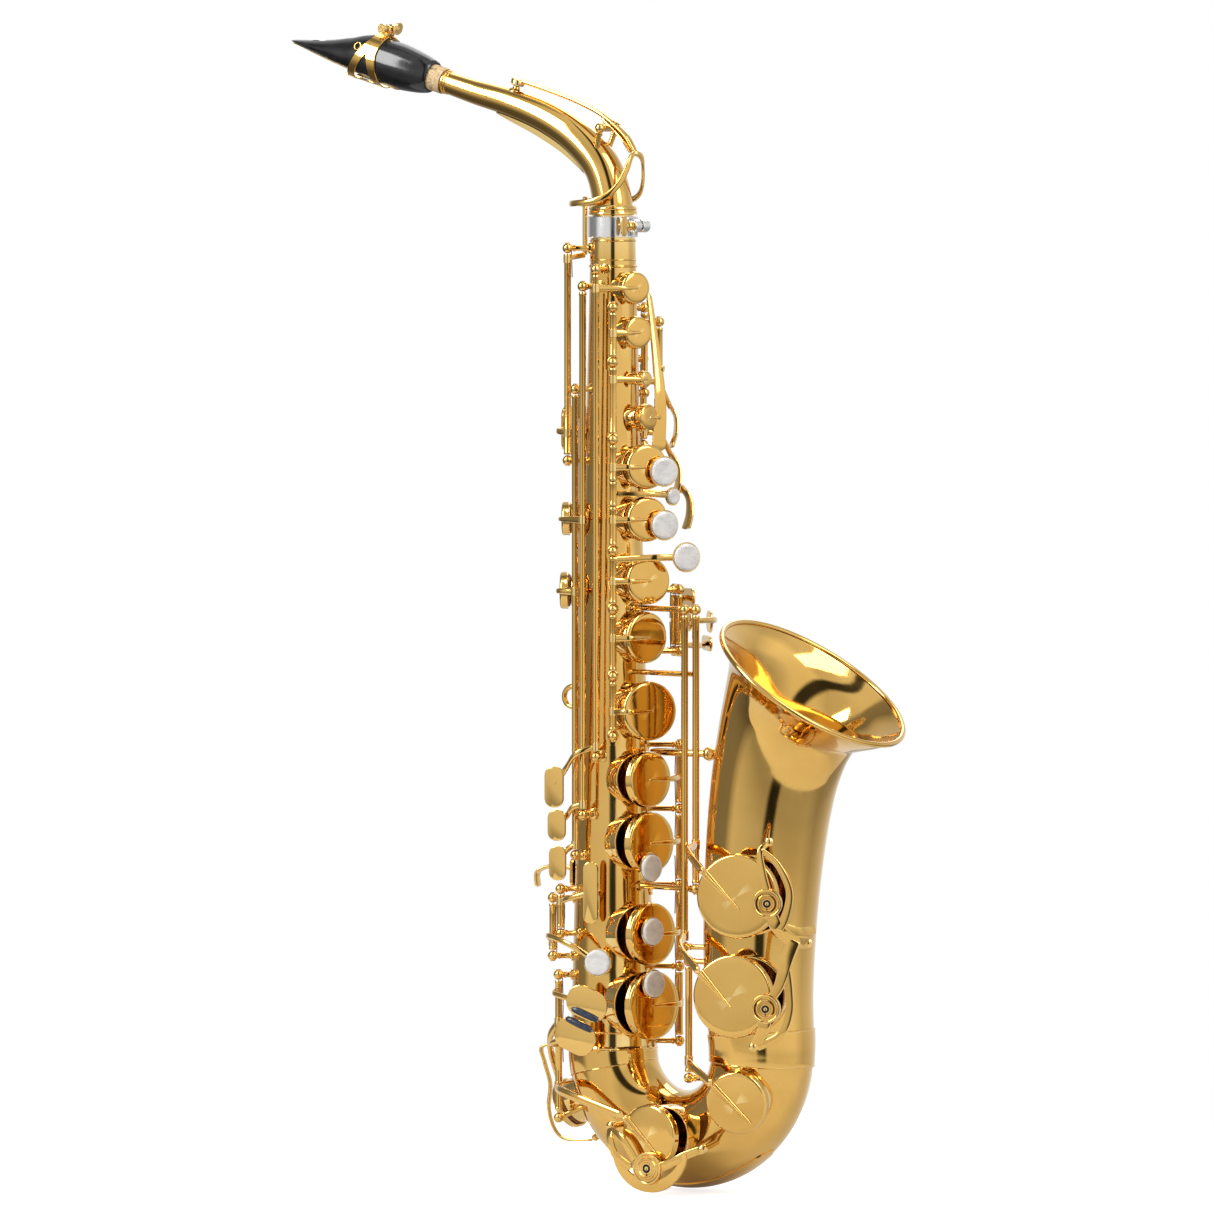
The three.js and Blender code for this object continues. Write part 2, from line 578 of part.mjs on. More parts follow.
function palmKeys() {
  const palms = [
    ['palm_f_key', 'palm_f', [470.3, 513.7], HOLES.palm_f, 474, 30, 448, 44],
    ['palm_eb_key', 'palm_eb', [439.8, 483.7], HOLES.palm_eb, 444, 36, 424, 52],
    ['palm_d_key', 'palm_d', [405.3, 451.7], HOLES.palm_d, 409, 42, 396, 58],
  ];
  for (const [name, line, tube, h, armZ, reach, touchZ, angle] of palms) {
    const normal = outward(angle);
    const centre = polar(angle, reach + 6, touchZ);
    addKey(name, {
      line, tube, hole: h, open: 9,
      extras: touch([at(line, armZ), polar((angle + 84) / 2 + 6, reach + 6, armZ - 6)],
        centre, normal, UP, 24, 11),
    });
  }
}

function tableKeys() {
  const normal = outward(50);
  const back = outward(140);
  const spot = (along, z, reach = 48) => normal.clone()
    .multiplyScalar(reach).addScaledVector(back, along).setZ(z);
  addKey('gsharp_key', {
    line: 'left_stack', tube: [306.3, 338.7], hole: HOLES.gsharp, open: 9.1,
    follows: 'gsharp_touch', ratio: 1.3,
  });
  addKey('gsharp_touch', {
    line: 'gsharp_table', tube: [319.3, 348.7], axis: vec(0, 0, 1), open: 7,
    extras: touch([at('gsharp_table', 345), vec(22, 40, 346)], spot(7, 347), normal, back, 22, 11),
  });
  addKey('low_csharp_touch', {
    line: 'pinky_table', tube: [319.3, 348.7], axis: vec(0, 0, 1), open: 7,
    extras: touch([at('pinky_table', 331), vec(30, 36, 332)], spot(8, 333.5), normal, back, 15, 13),
  });
  const bTouch = touch(
    [at('bell_outer', 336), vec(62, 6, 336), vec(52, 20, 335)], spot(-9, 333.5), normal, back, 15, 13);
  const bbTouch = touch(
    [at('bell_inner', 322), vec(54, 2, 321), vec(44, 18, 320)], spot(-1, 320.5), normal, back, 28, 9);
  return { bTouch, bbTouch };
}

const PINKY_TILT = degrees(22);
function bellKeys({ bTouch, bbTouch }) {
  const b = HOLES_LOW.low_b;
  const bb = HOLES_LOW.low_bb;
  const sharp = HOLES_LOW.low_csharp;
  const c = HOLES_LOW.low_c;
  const eb = HOLES_LOW.low_eb;
  const overEdge = (h, lateral, up) => beside(h, lateral, up, levels(h).top + 0.2);
  const arm = (h, path) => bar([...path, overEdge(h, 0, 0)], 5, 3, { endWidth: 3, endDepth: 2, steps: 5 });
  addKey('low_b_key', {
    line: 'bell_outer', tube: [183.3, 339.2], hole: b, open: 8,
    standsOpen: true, ownPad: true, extras: bTouch,
    arm: arm(b, [at('bell_outer', 206), vec(80, -38, 203), overEdge(b, -20, 14)]),
  });
  addKey('low_bb_key', {
    line: 'bell_inner', tube: [149.8, 339.2], hole: bb, open: 8,
    standsOpen: true, ownPad: true, extras: bbTouch,
    arm: arm(bb, [at('bell_inner', 153), vec(74, -38, 147), overEdge(bb, -20, 14)]),
  });
  addKey('low_csharp_key', {
    line: 'low_csharp', tube: [73.3, 134.7], hole: sharp, open: 7, follows: 'low_csharp_touch',
    arm: arm(sharp, [at('low_csharp', 80), vec(76, -36, 79), overEdge(sharp, -14, 11)]),
  });
  const pinkyNormal = outward(-80);
  const pinkyLong = outward(10).multiplyScalar(Math.cos(PINKY_TILT)).setZ(-Math.sin(PINKY_TILT));
  addKey('low_c_key', {
    line: 'pinky', tube: [47.4, 89.3], hole: c, open: 4.5, standsOpen: true, ownPad: true,
    arm: arm(c, [at('pinky', 61.6), vec(-8, -40, 60), vec(24, -47, 51)]),
    extras: touch(
      [at('pinky', 86), vec(-20, -34, 88)], vec(1.3, -38.5, 93.3), pinkyNormal, pinkyLong, 27, 19.4),
  });
  addKey('low_eb_key', {
    line: 'pinky', tube: [95.9, 123.7], hole: eb, open: 8,
    arm: arm(eb, [at('pinky', 99), vec(-35, -14, 88)]),
    extras: touch(
      [at('pinky', 118), vec(-19, -34, 117)], vec(7.2, -39.5, 112.6), pinkyNormal, pinkyLong, 26, 18.4),
  });
}

function trillKey() {
  const centre = vec(12.4, -36.6, 136.6);
  const direction = outward(-71);
  const back = centre.clone().addScaledVector(direction, -1.3);
  addKey('trill_key', {
    line: 'trill', tube: [141.3, 168.7], axis: vec(0, 0, -1), open: 5,
    extras: [
      bar([at('trill', 146), vec(-22, -36, 151), vec(-2, -42, 146), back], 3.4, 2.2),
      pearlHolder(centre, direction, 7.6, PEARL_RISE),
    ],
  });
}

// ---------- neck and mouthpiece ----------
const NECK = {
  base: 571.4, tenon: 11.6, cork: 16, corkThickness: 0.9,
  line: [vec(0, 0, 571.4), vec(-1.2, 0, 583), vec(-7.5, 0, 599.5), vec(-24, 0, 616), vec(-45.5, 0, 628.2),
    vec(-71.3, 0, 637.3), vec(-95, 0, 643.4), vec(-116.3, 0, 649.5)],
  startRadius: 12, endRadius: 6.6,
};
const neckLine = new THREE.CatmullRomCurve3(NECK.line, false, 'centripetal');
const neckRadius = (along) => THREE.MathUtils.lerp(NECK.startRadius, NECK.endRadius, along);
const pipeEnd = neckLine.getPointAt(1);
const pipeAxis = neckLine.getTangentAt(1);
const pipeUp = vec(pipeAxis.z, 0, -pipeAxis.x);
const MOUTHPIECE_START = 9;
const alongPipe = (distance, rise = 0) => pipeEnd.clone()
  .addScaledVector(pipeAxis, distance).addScaledVector(pipeUp, rise);

// A closed loft along local Z: rows of [height, half width on Y, half depth on X, shift on X].
function loft(rows, sides, placement) {
  const geometry = new THREE.CylinderGeometry(1, 1, 1, sides, rows.length - 1);
  const position = geometry.attributes.position;
  for (let i = 0; i < position.count; i += 1) {
    const row = rows[Math.round((position.getY(i) + 0.5) * (rows.length - 1))];
    const [height, halfWidth, halfDepth, shift] = row;
    position.setXYZ(i, position.getX(i) * halfDepth + shift, position.getZ(i) * halfWidth, height);
  }
  geometry.applyMatrix4(placement);
  return toSolid(geometry);
}

function receiver() {
  const band = ring(vec(0, 0, 558.4), UP, 12.3, 14.6, 12.4, 20);
  const ear = (y) => plate(vec(17, y, 565), vec(0, 1, 0), vec(1, 0, 0), 9, 9, 2);
  const slot = plate(vec(15, -0.7, 565), vec(0, 1, 0), vec(1, 0, 0), 8, 20, 1.4, 0.01);
  const screwHole = rod(vec(17.5, -8, 565), vec(17.5, 8, 565), 1.85, 8);
  addMesh('neck_receiver', cut(join(band, ear(1.4), ear(-3.4)), slot, screwHole), SILVER);
  const axis = vec(0, 1, 0);
  const group = addBody('neck_screw', vec(17.5, -6, 565), axis, 0, [-180, 180]);
  const screw = join(
    rod(vec(17.5, -15, 565), vec(17.5, 5.5, 565), 1.45, 8),
    rod(vec(17.5, -6.2, 565), vec(17.5, -3.8, 565), 2.8, 8),
    plate(vec(16.7, -14, 565), vec(1, 0, 0), UP, 13, 7, 1.6),
  );
  addMesh('neck_clamp_screw', inBody(group, screw), SILVER, group);
}

const pipAt = neckLine.getPointAt(0.555);
const pipTangent = neckLine.getTangentAt(0.555);
const OCTAVE_PIP = {
  foot: pipAt,
  out: vec(pipTangent.z, 0, -pipTangent.x),
  top: pipAt.clone().addScaledVector(vec(pipTangent.z, 0, -pipTangent.x), 12.4),
};
const OCTAVE_HINGE = vec(-3.4, 0, 622);
function underNeck(along) {
  const tangent = neckLine.getTangentAt(along);
  return neckLine.getPointAt(along).addScaledVector(vec(-tangent.z, 0, tangent.x), neckRadius(along) + 1);
}

function neck() {
  const group = addBody('neck', vec(0, 0, 571), UP, 0, [-30, 30]);
  const outside = join(
    bentSolid(neckLine, neckRadius, 12, 8),
    rod(vec(0, 0, 571.3), vec(0, 0, 576), 14.2, 16),
    rod(vec(0, 0, 548), vec(0, 0, 572), NECK.tenon, 16),
    rod(pipeEnd.clone().addScaledVector(pipeAxis, -1), alongPipe(NECK.cork + 1), NECK.endRadius, 16),
    rod(OCTAVE_PIP.foot, OCTAVE_PIP.top, 2.2, 8),
    bar([0.24, 0.36, 0.48, 0.6, 0.72].map(underNeck), 6, 3, { side: vec(0, 1, 0), steps: 6 }),
    pillar(vec(-9, 5, 604), vec(OCTAVE_HINGE.x, 9, OCTAVE_HINGE.z)),
    pillar(vec(-9, -5, 604), vec(OCTAVE_HINGE.x, -9, OCTAVE_HINGE.z)),
  );
  const hollow = join(
    bentSolid(neckLine, (along) => neckRadius(along) - 1, 12, 8),
    rod(vec(0, 0, 540), vec(0, 0, 572), NECK.tenon - 1, 16),
    rod(pipeEnd.clone().addScaledVector(pipeAxis, -0.5), alongPipe(NECK.cork + 4), NECK.endRadius - 1, 16),
  );
  addMesh('neck_tube', inBody(group, cut(outside, hollow)), GOLD, group);
  const corkInside = NECK.endRadius + 0.3;
  const cork = ring(alongPipe(0.3), pipeAxis, corkInside, corkInside + NECK.corkThickness, NECK.cork, 16);
  addMesh('neck_cork', inBody(group, cork), CORK, group);
  return group;
}

function neckOctaveKey(neckGroup) {
  const group = addBody('neck_octave_key', OCTAVE_HINGE, vec(0, 1, 0), 0, [0, 2.5], neckGroup);
  group.userData.follows = 'octave_lever';
  group.userData.ratio = 0.5;
  const { top, out } = OCTAVE_PIP;
  const padBase = top.clone().addScaledVector(out, 0.5);
  const padTop = top.clone().addScaledVector(out, 3.6);
  const half = (side) => bar([
    vec(17.5, 0, 611), polar(side * 55, 20, 603), polar(side * 95, 20.5, 595),
    polar(side * 135, 24, 584), polar(side * 160, 25, 579.5), polar(side * 181, 25, 578.5),
  ], 3.2, 2.2, { steps: 8 });
  const solid = join(
    rod(OCTAVE_HINGE.clone().setY(-5), OCTAVE_HINGE.clone().setY(5), 2, 8),
    bar([OCTAVE_HINGE, vec(-25, 0, 636), vec(-44, 0, 645), padTop], 5, 2.4,
      { side: vec(0, 1, 0), endWidth: 4, steps: 6 }),
    rod(padBase, padTop.clone().addScaledVector(out, 0.6), 4.2, 10),
    bar([OCTAVE_HINGE, vec(9, 0, 620), vec(17.5, 0, 611)], 5, 2.4, { side: vec(0, 1, 0), endWidth: 5 }),
    half(1), half(-1),
  );
  addMesh('neck_octave_key', inBody(group, solid), GOLD, group);
}

function mouthpiece(neckGroup) {
  const start = alongPipe(MOUTHPIECE_START);
  const group = addBody('mouthpiece', start, pipeAxis, 0, [-5, 6], neckGroup);
  group.userData.slide = true;
  const place = frameAlong(start, pipeAxis, pipeUp);
  const outside = loft([
    [0, 9.9, 9.9, 0], [12, 12.6, 12.6, 0], [26, 14.1, 14.1, 0], [40, 14.3, 14.3, 0], [50, 14, 12.5, -0.8],
    [60, 13.3, 10.2, -2.8], [72, 11.8, 6.5, -3.7], [84, 10.2, 3.6, -4.6], [97, 8.2, 0.95, -5.25],
  ], 14, place);
  const tableStart = start.clone().addScaledVector(pipeAxis, 24).addScaledVector(pipeUp, -10.7);
  const tip = start.clone().addScaledVector(pipeAxis, 97.5).addScaledVector(pipeUp, -5.7);
  const table = frameAlong(tableStart, tip.clone().sub(tableStart), pipeUp);
  const block = new THREE.BoxGeometry(12, 40, 116);
  block.translate(-6, 0, 52);
  block.applyMatrix4(table);
  const bore = rod(alongPipe(MOUTHPIECE_START - 3), alongPipe(MOUTHPIECE_START + 32), 8.2, 12);
  const chamber = rod(alongPipe(MOUTHPIECE_START + 30), alongPipe(MOUTHPIECE_START + 52), 6, 8);
  const opening = new THREE.BoxGeometry(10, 10.5, 34);
  opening.translate(3, 0, 45);
  opening.applyMatrix4(table);
  const shaped = cut(outside, toSolid(block), bore, chamber, toSolid(opening));
  addMesh('mouthpiece', inBody(group, shaped), EBONITE, group);
  const reed = loft([[-3, 6.2, 1.4, -1.8], [40, 6.6, 1.3, -1.7], [73.5, 6.8, 0.25, -0.6]], 4, table);
  addMesh('reed', inBody(group, reed), CANE, group);
  ligature(group, place);
}

function ligature(mouthpieceGroup, place) {
  const from = 26;
  const to = 50;
  const band = (grow, past) => loft([
    [from - past, 15 + grow, 15 + grow, 0], [to + past, 15 + grow, 15 + grow, 0]], 16, place);
  const spot = (distance, rise, y) => alongPipe(MOUTHPIECE_START + distance, rise).setY(y);
  const waist = [from - 1, to + 1].map(
    (distance) => rod(spot(distance, -1, -30), spot(distance, -1, 30), 7.4, 8));
  const lug = (y) => plate(spot(38, 17, y), vec(0, 1, 0), pipeUp, 8, 7, 2);
  const screwHole = rod(spot(38, 19, -9), spot(38, 19, 9), 1.6, 8);
  const clamp = cut(join(cut(band(1.1, 0), band(0, 2), waist), lug(1.5), lug(-3.5)), band(0, 2), screwHole);
  addMesh('ligature', inBody(mouthpieceGroup, clamp), GOLD, mouthpieceGroup);
  const group = addBody('ligature_screw', spot(38, 19, 6), vec(0, 1, 0), 0, [-180, 180], mouthpieceGroup);
  const screw = join(
    rod(spot(38, 19, -5), spot(38, 19, 10), 1.2, 8),
    rod(spot(38, 19, 4), spot(38, 19, 6), 2.4, 8),
    plate(spot(38, 19, 10.5).addScaledVector(pipeAxis, -0.7), pipeAxis, vec(0, 1, 0), 8, 7.5, 1.4),
  );
  addMesh('ligature_screw', inBody(group, screw), GOLD, group);
}

// ---------- guards and fittings ----------
function guards() {
  const facing = HOLES_LOW.low_b.direction;
  const bumper = (centre, normal, radius) => rod(
    centre, centre.clone().addScaledVector(normal, BUMPER_HEIGHT), radius, 12);
  const ribbon = (points, width, steps = 4) => bar(points, 1.6, width, { side: facing, steps });
  addMesh('bell_key_guard', join(
    bumper(nearB(12, -3.3, 58.7), facing, 8.4), bumper(nearB(10.8, -64.2, 56.6), facing, 8.4),
    ribbon([nearB(12.5, 32, 57.5), nearB(7.5, 24, 60.5), nearB(11, 10, 61), nearB(12, -3.3, 61)], 5),
    ribbon([nearB(7.5, 25, 60.5), nearB(18, 18, 61), nearB(25.5, 2, 61), nearB(19.5, -17.5, 61)], 4, 7),
    ribbon([nearB(12, -3.3, 61), nearB(19.5, -18, 61), nearB(27.5, -25.5, 56), nearB(33, -27, 43)], 6),
    ribbon(
      [nearB(27, -25, 57), nearB(23.5, -39, 60), nearB(18.5, -53, 59.5), nearB(10.8, -64.2, 59)], 6, 6),
    ribbon([nearB(23.5, -40, 60), nearB(25.5, -62, 59), nearB(19, -80, 58.5), nearB(4, -85, 56)], 4, 7),
    ribbon([nearB(10.8, -64.2, 59), nearB(8, -76, 58.5), nearB(3, -84.5, 55.5)], 5),
  ), GOLD);
  const forward = vec(0, -1, 0);
  const cBumper = vec(56.9, -50.6, 19.7);
  const cMiddle = cBumper.clone().addScaledVector(forward, 3);
  const half = new THREE.BoxGeometry(80, 10, 40);
  half.translate(cBumper.x, cBumper.y, 46.2);
  const crescent = cut(ring(vec(57.5, -51.2, 32.6), forward, 21, 27, 1.4, 24), toSolid(half));
  addMesh('low_c_guard', join(
    bumper(cBumper, forward, 9.6), crescent,
    bar([vec(28, -47.9, 42.6), vec(28.5, -50.6, 41), vec(33, -51.8, 26)], 5, 2.6),
    bar([vec(82.4, -51.8, 25), vec(89, -50.8, 31), vec(90, -47.9, 31.7)], 5, 2.6),
    bar([cMiddle, vec(45, -53, 14), vec(40, -52, 19.5)], 4, 2),
    bar([cMiddle, vec(71, -53, 14), vec(77, -52, 19.5)], 4, 2),
  ), GOLD);
  addMesh('low_eb_guard', bar([
    vec(-32.2, 11.8, 79.4), vec(-46, 9, 75), vec(-53, 6, 62), vec(-51, 5, 44), vec(-40, 6, 28),
    vec(-19.2, 8.5, 28),
  ], 2.6, 2.6, { side: vec(0, 1, 0), steps: 7 }), GOLD);
}

function fittings() {
  addMesh('bell_brace', join(
    bar([vec(22, 9, 258), vec(50, 6, 258), vec(70, 2, 258)], 4, 4),
    bar([vec(23.4, 3.5, 258), vec(48, 1, 258), vec(70, 2, 258)], 4, 4),
    rod(vec(66, 2, 258), vec(75, 2, 258), 3.4, 10),
  ), GOLD);
  const hook = addBody('thumb_hook', vec(-24, -4, 186), UP, 0, [-4, 4]);
  hook.userData.slide = true;
  addMesh('thumb_hook', inBody(hook, join(
    plate(vec(-22.9, -4, 186), vec(-1, 0, 0), UP, 18, 9, 2),
    bar([vec(-23.6, -4, 188), vec(-35, -6, 190), vec(-46.5, -8.5, 186), vec(-46.5, -8.5, 177)], 8, 2.6,
      { side: vec(0.25, -1, 0), steps: 6 }),
  )), GOLD, hook);
  const loop = new THREE.TorusGeometry(6, 1.6, 6, 14);
  loop.rotateX(Math.PI / 2);
  loop.translate(-27.6, 0, 289);
  addMesh('strap_ring', join(
    plate(vec(-20, 0, 312), vec(-1, 0, 0), UP, 30, 9, 2, 0.3),
    rod(vec(-20.9, 0, 300), vec(-20.9, 0, 290.5), 0.9, 6),
    toSolid(loop),
  ), GOLD);
}

shells();
stackKeys();
bisKey();
sideKeys();
upperKeys();
palmKeys();
bellKeys(tableKeys());
trillKey();
receiver();
const neckGroup = neck();
neckOctaveKey(neckGroup);
mouthpiece(neckGroup);
guards();
fittings();

// The origin is moved to the middle of the footprint, at the lowest point.
model.updateMatrixWorld(true);
const bounds = new THREE.Box3().setFromObject(model);
model.position.set(-(bounds.min.x + bounds.max.x) / 2, -(bounds.min.y + bounds.max.y) / 2, -bounds.min.z);
export default model;
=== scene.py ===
"""Alto saxophone: fine surfaces and finishes around the fixed CAD frame.

Design coordinates are millimetres with the body tube on the Z axis, the bell towards +X and the
player's left at +Y. `place` carries them into the frame, which is in metres.
"""
import json
import math

import bpy
from mathutils import Matrix, Vector


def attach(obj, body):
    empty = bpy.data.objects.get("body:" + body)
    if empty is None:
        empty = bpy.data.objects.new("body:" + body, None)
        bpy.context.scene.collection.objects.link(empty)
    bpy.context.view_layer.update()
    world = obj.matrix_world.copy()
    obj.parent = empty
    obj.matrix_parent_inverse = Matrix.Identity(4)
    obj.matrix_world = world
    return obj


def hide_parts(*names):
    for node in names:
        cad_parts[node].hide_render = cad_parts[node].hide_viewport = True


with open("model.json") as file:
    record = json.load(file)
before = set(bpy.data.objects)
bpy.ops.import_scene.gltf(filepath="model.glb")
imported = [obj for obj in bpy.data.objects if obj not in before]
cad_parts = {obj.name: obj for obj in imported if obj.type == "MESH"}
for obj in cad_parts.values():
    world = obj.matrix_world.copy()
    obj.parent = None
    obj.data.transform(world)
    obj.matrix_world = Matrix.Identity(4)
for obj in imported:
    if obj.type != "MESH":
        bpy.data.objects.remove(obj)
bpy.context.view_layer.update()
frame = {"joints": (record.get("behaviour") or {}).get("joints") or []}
JOINTS = {joint["child"]: joint for joint in frame["joints"]}

# ---------- driving dimensions, in millimetres ----------
NECK_BASE = 571.0
BODY_TOP = 558.0
BODY_TOP_RADIUS = 13.5
BODY_TAPER = 0.0245
BOW_CENTRE_X = 51.0
BOW_CENTRE_Z = 84.0
BOW_BEND = 51.0
BOW_RADII = (25.4, 28.2, 30.0)
WALL = 0.9
RISE = 6.0
CHIMNEY_WALL = 1.3
SEAT_GAP = 0.35
PAD_THICKNESS = 3.1
PAD_INSET = 1.5
CUP_THICKNESS = 2.6
ROD = 1.9
TUBE_RADIUS = 2.05
POST_BALL = 3.05
POST_STEM = 1.6
# from a post's middle to the end of the tube that it carries, and how near counts as touching
POST_TO_TUBE, SAME_PLACE = 3.3, 0.6
SPRING_LENGTH, SPRING_RADIUS = 17, 0.32
PEARL_LEVEL = 3.6
UP = Vector((0, 0, 1))
SIDE = Vector((0, 1, 0))

AXIS_TOP = Vector(JOINTS["neck"]["pos_m"])
SHIFT = AXIS_TOP - Vector((0, 0, NECK_BASE / 1000))


def place(point):
    """Design millimetres to frame metres."""
    return Vector(point) / 1000 + SHIFT


def design(point):
    """Frame metres to design millimetres."""
    return (Vector(point) - SHIFT) * 1000


# ---------- mesh building ----------
class Shape:
    """Closed shells collected in design coordinates, each with its own material index."""

    def __init__(self):
        self.points = []
        self.faces = []
        self.finish = []

    def grid(self, rings, closed_ends=True, finish=0, wrap=False):
        """Rings of equal count joined side by side; the ends are capped, or wrapped onto each other."""
        start = len(self.points)
        count = len(rings[0])
        for ring in rings:
            self.points.extend(ring)
        rows = len(rings)
        last = rows if wrap else rows - 1
        for row in range(last):
            here = start + row * count
            there = start + (row + 1) % rows * count
            for k in range(count):
                nxt = (k + 1) % count
                self.add_face((here + k, here + nxt, there + nxt, there + k), finish)
        if closed_ends and not wrap:
            self.add_face(tuple(start + k for k in reversed(range(count))), finish)
            self.add_face(tuple(start + (rows - 1) * count + k for k in range(count)), finish)

    def add_face(self, corners, finish):
        self.faces.append(corners)
        self.finish.append(finish)

    def turn(self, origin, axis, angle):
        rotation = Matrix.Rotation(angle, 3, axis)
        self.points = [origin + rotation @ (point - origin) for point in self.points]
        return self


def basis(direction, side=None):
    """Rotation whose Z column is `direction` and whose X column leans towards `side`."""
    z = Vector(direction).normalized()
    x = Vector(side) if side is not None else (Vector((1, 0, 0)) if abs(z.z) > 0.9 else UP.copy())
    x = (x - z * x.dot(z)).normalized()
    y = z.cross(x)
    return Matrix((x, y, z)).transposed()


def lathe(shape, origin, direction, profile, sides=40, finish=0, wrap=False):
    """Turns (radius, height) pairs about an axis; a radius of zero becomes a tiny cap."""
    turn = basis(direction)
    origin = Vector(origin)
    rings = []
    for radius, height in profile:
        radius = max(radius, 0.01)
        rings.append([
            origin + turn @ Vector((radius * math.cos(a), radius * math.sin(a), height))
            for a in (2 * math.pi * k / sides for k in range(sides))])
    shape.grid(rings, finish=finish, wrap=wrap)


def rod(shape, start, end, radius=ROD, sides=20, finish=0, edge=0.25):
    """A round bar with a small chamfer at each end."""
    start, end = Vector(start), Vector(end)
    length = (end - start).length
    edge = min(edge, radius * 0.4, length * 0.3)
    profile = [(radius - edge, 0), (radius, edge), (radius, length - edge), (radius - edge, length)]
    lathe(shape, start, end - start, profile, sides, finish)


class Path:
    """A centripetal Catmull-Rom curve read by its length."""

    SAMPLES = 160

    def __init__(self, points):
        self.points = [Vector(p) for p in points]
        self.table = [self.raw(k / self.SAMPLES) for k in range(self.SAMPLES + 1)]
        self.lengths = [0.0]
        for a, b in zip(self.table, self.table[1:]):
            self.lengths.append(self.lengths[-1] + (b - a).length)

    def raw(self, t):
        pts = self.points
        spans = len(pts) - 1
        index = min(int(t * spans), spans - 1)
        weight = t * spans - index
        p1, p2 = pts[index], pts[index + 1]
        p0 = pts[index - 1] if index > 0 else p1 * 2 - p2
        p3 = pts[index + 2] if index + 2 <= spans else p2 * 2 - p1
        d0 = max((p1 - p0).length_squared ** 0.25, 1e-4)
        d1 = max((p2 - p1).length_squared ** 0.25, 1e-4)
        d2 = max((p3 - p2).length_squared ** 0.25, 1e-4)
        m1 = ((p1 - p0) / d0 - (p2 - p0) / (d0 + d1) + (p2 - p1) / d1) * d1
        m2 = ((p2 - p1) / d1 - (p3 - p1) / (d1 + d2) + (p3 - p2) / d2) * d1
        c2 = (p2 - p1) * 3 - m1 * 2 - m2
        c3 = (p1 - p2) * 2 + m1 + m2
        return p1 + m1 * weight + c2 * weight ** 2 + c3 * weight ** 3

    def at(self, along):
        target = min(max(along, 0.0), 1.0) * self.lengths[-1]
        low = 0
        while low < self.SAMPLES - 1 and self.lengths[low + 1] < target:
            low += 1
        span = max(self.lengths[low + 1] - self.lengths[low], 1e-9)
        return self.table[low].lerp(self.table[low + 1], (target - self.lengths[low]) / span)

    def tangent(self, along):
        step = 0.004
        return (self.at(min(along + step, 1)) - self.at(max(along - step, 0))).normalized()


def bar(shape, points, width, depth, side=UP, end_width=None, end_depth=None, steps=26, square=0.62,
        finish=0):
    """A tapered bar with a rounded oblong section; `width` lies along `side`."""
    path = Path(points)
    end_width = width if end_width is None else end_width
    end_depth = depth if end_depth is None else end_depth
    sides = 16
    rings = []
    for k in range(steps + 1):
        along = k / steps
        centre, tangent = path.at(along), path.tangent(along)
        across = (Vector(side) - tangent * tangent.dot(side)).normalized()
        out = tangent.cross(across)
        # rounded ends
        inset = min(1.0, math.sqrt(max(0.02, 1 - (1 - min(along, 1 - along) * steps / 1.5) ** 2))) \
            if min(along, 1 - along) * steps < 1.5 else 1.0
        half_width = (width + (end_width - width) * along) / 2 * inset
        half_depth = (depth + (end_depth - depth) * along) / 2 * inset
        ring = []
        for j in range(sides):
            a = 2 * math.pi * j / sides
            x = math.copysign(abs(math.cos(a)) ** square, math.cos(a))
            y = math.copysign(abs(math.sin(a)) ** square, math.sin(a))
            ring.append(centre + across * (x * half_width) + out * (y * half_depth))
        rings.append(ring)
    shape.grid(rings, finish=finish)


def outline(length, width, corner, steps=7):
    """Rounded oblong outline in its own plane."""
    x, y = length / 2 - corner, width / 2 - corner
    points = []
    for centre_x, centre_y, start in ((x, y, 0), (-x, y, 90), (-x, -y, 180), (x, -y, 270)):
        for k in range(steps + 1):
            a = math.radians(start + 90 * k / steps)
            points.append((centre_x + corner * math.cos(a), centre_y + corner * math.sin(a)))
    return points


def plate(shape, centre, normal, long, length, width, thickness=1.6, corner=0.45, finish=0, bow=0.0):
    """A touch piece with rounded edges; `bow` lifts its middle a little."""
    turn = basis(normal, long)
    radius = min(length, width) * corner
    edge = thickness * 0.32
    rings = []
    for inset, height in ((edge, 0), (0.0, edge), (0.0, thickness - edge),
                          (0.3 * edge, thickness - 0.3 * edge),
                          (edge, thickness)):
        flat = outline(length - 2 * inset, width - 2 * inset, radius - inset * 0.9)
        rings.append([
            Vector(centre) + turn @ Vector((x, y, height + bow * (1 - (2 * x / length) ** 2)))
            for x, y in flat])
    shape.grid(rings, finish=finish)


def bent(shape, path, radius_at, steps, sides=64, inner_wall=None, finish=0):
    """A tube of changing radius on a centreline in the XZ plane, with an inner surface if it has a wall."""
    def ring(along, radius):
        centre, tangent = path.at(along), path.tangent(along)
        out = Vector((tangent.z, 0, -tangent.x))
        return [
            centre + out * (radius * math.cos(a)) + Vector((0, radius * math.sin(a), 0))
            for a in (2 * math.pi * k / sides for k in range(sides))]
    stations = [k / steps for k in range(steps + 1)]
    outer = [ring(s, radius_at(s)) for s in stations]
    if inner_wall is None:
        shape.grid(outer, finish=finish)
        return
    inner = [ring(s, radius_at(s) - inner_wall) for s in reversed(stations)]
    shape.grid(outer + inner, finish=finish, wrap=True)


def torus(shape, centre, direction, major, minor, sides=56, finish=0, side=None):
    """A bead or ring of round section."""
    turn = basis(direction, side)
    rings = []
    for k in range(sides):
        a = 2 * math.pi * k / sides
        out = turn @ Vector((math.cos(a), math.sin(a), 0))
        along = turn @ Vector((0, 0, 1))
        rings.append([
            Vector(centre) + out * (major + minor * math.cos(b)) + along * (minor * math.sin(b))
            for b in (2 * math.pi * j / 12 for j in range(12))])
    shape.grid(rings, finish=finish, wrap=True)


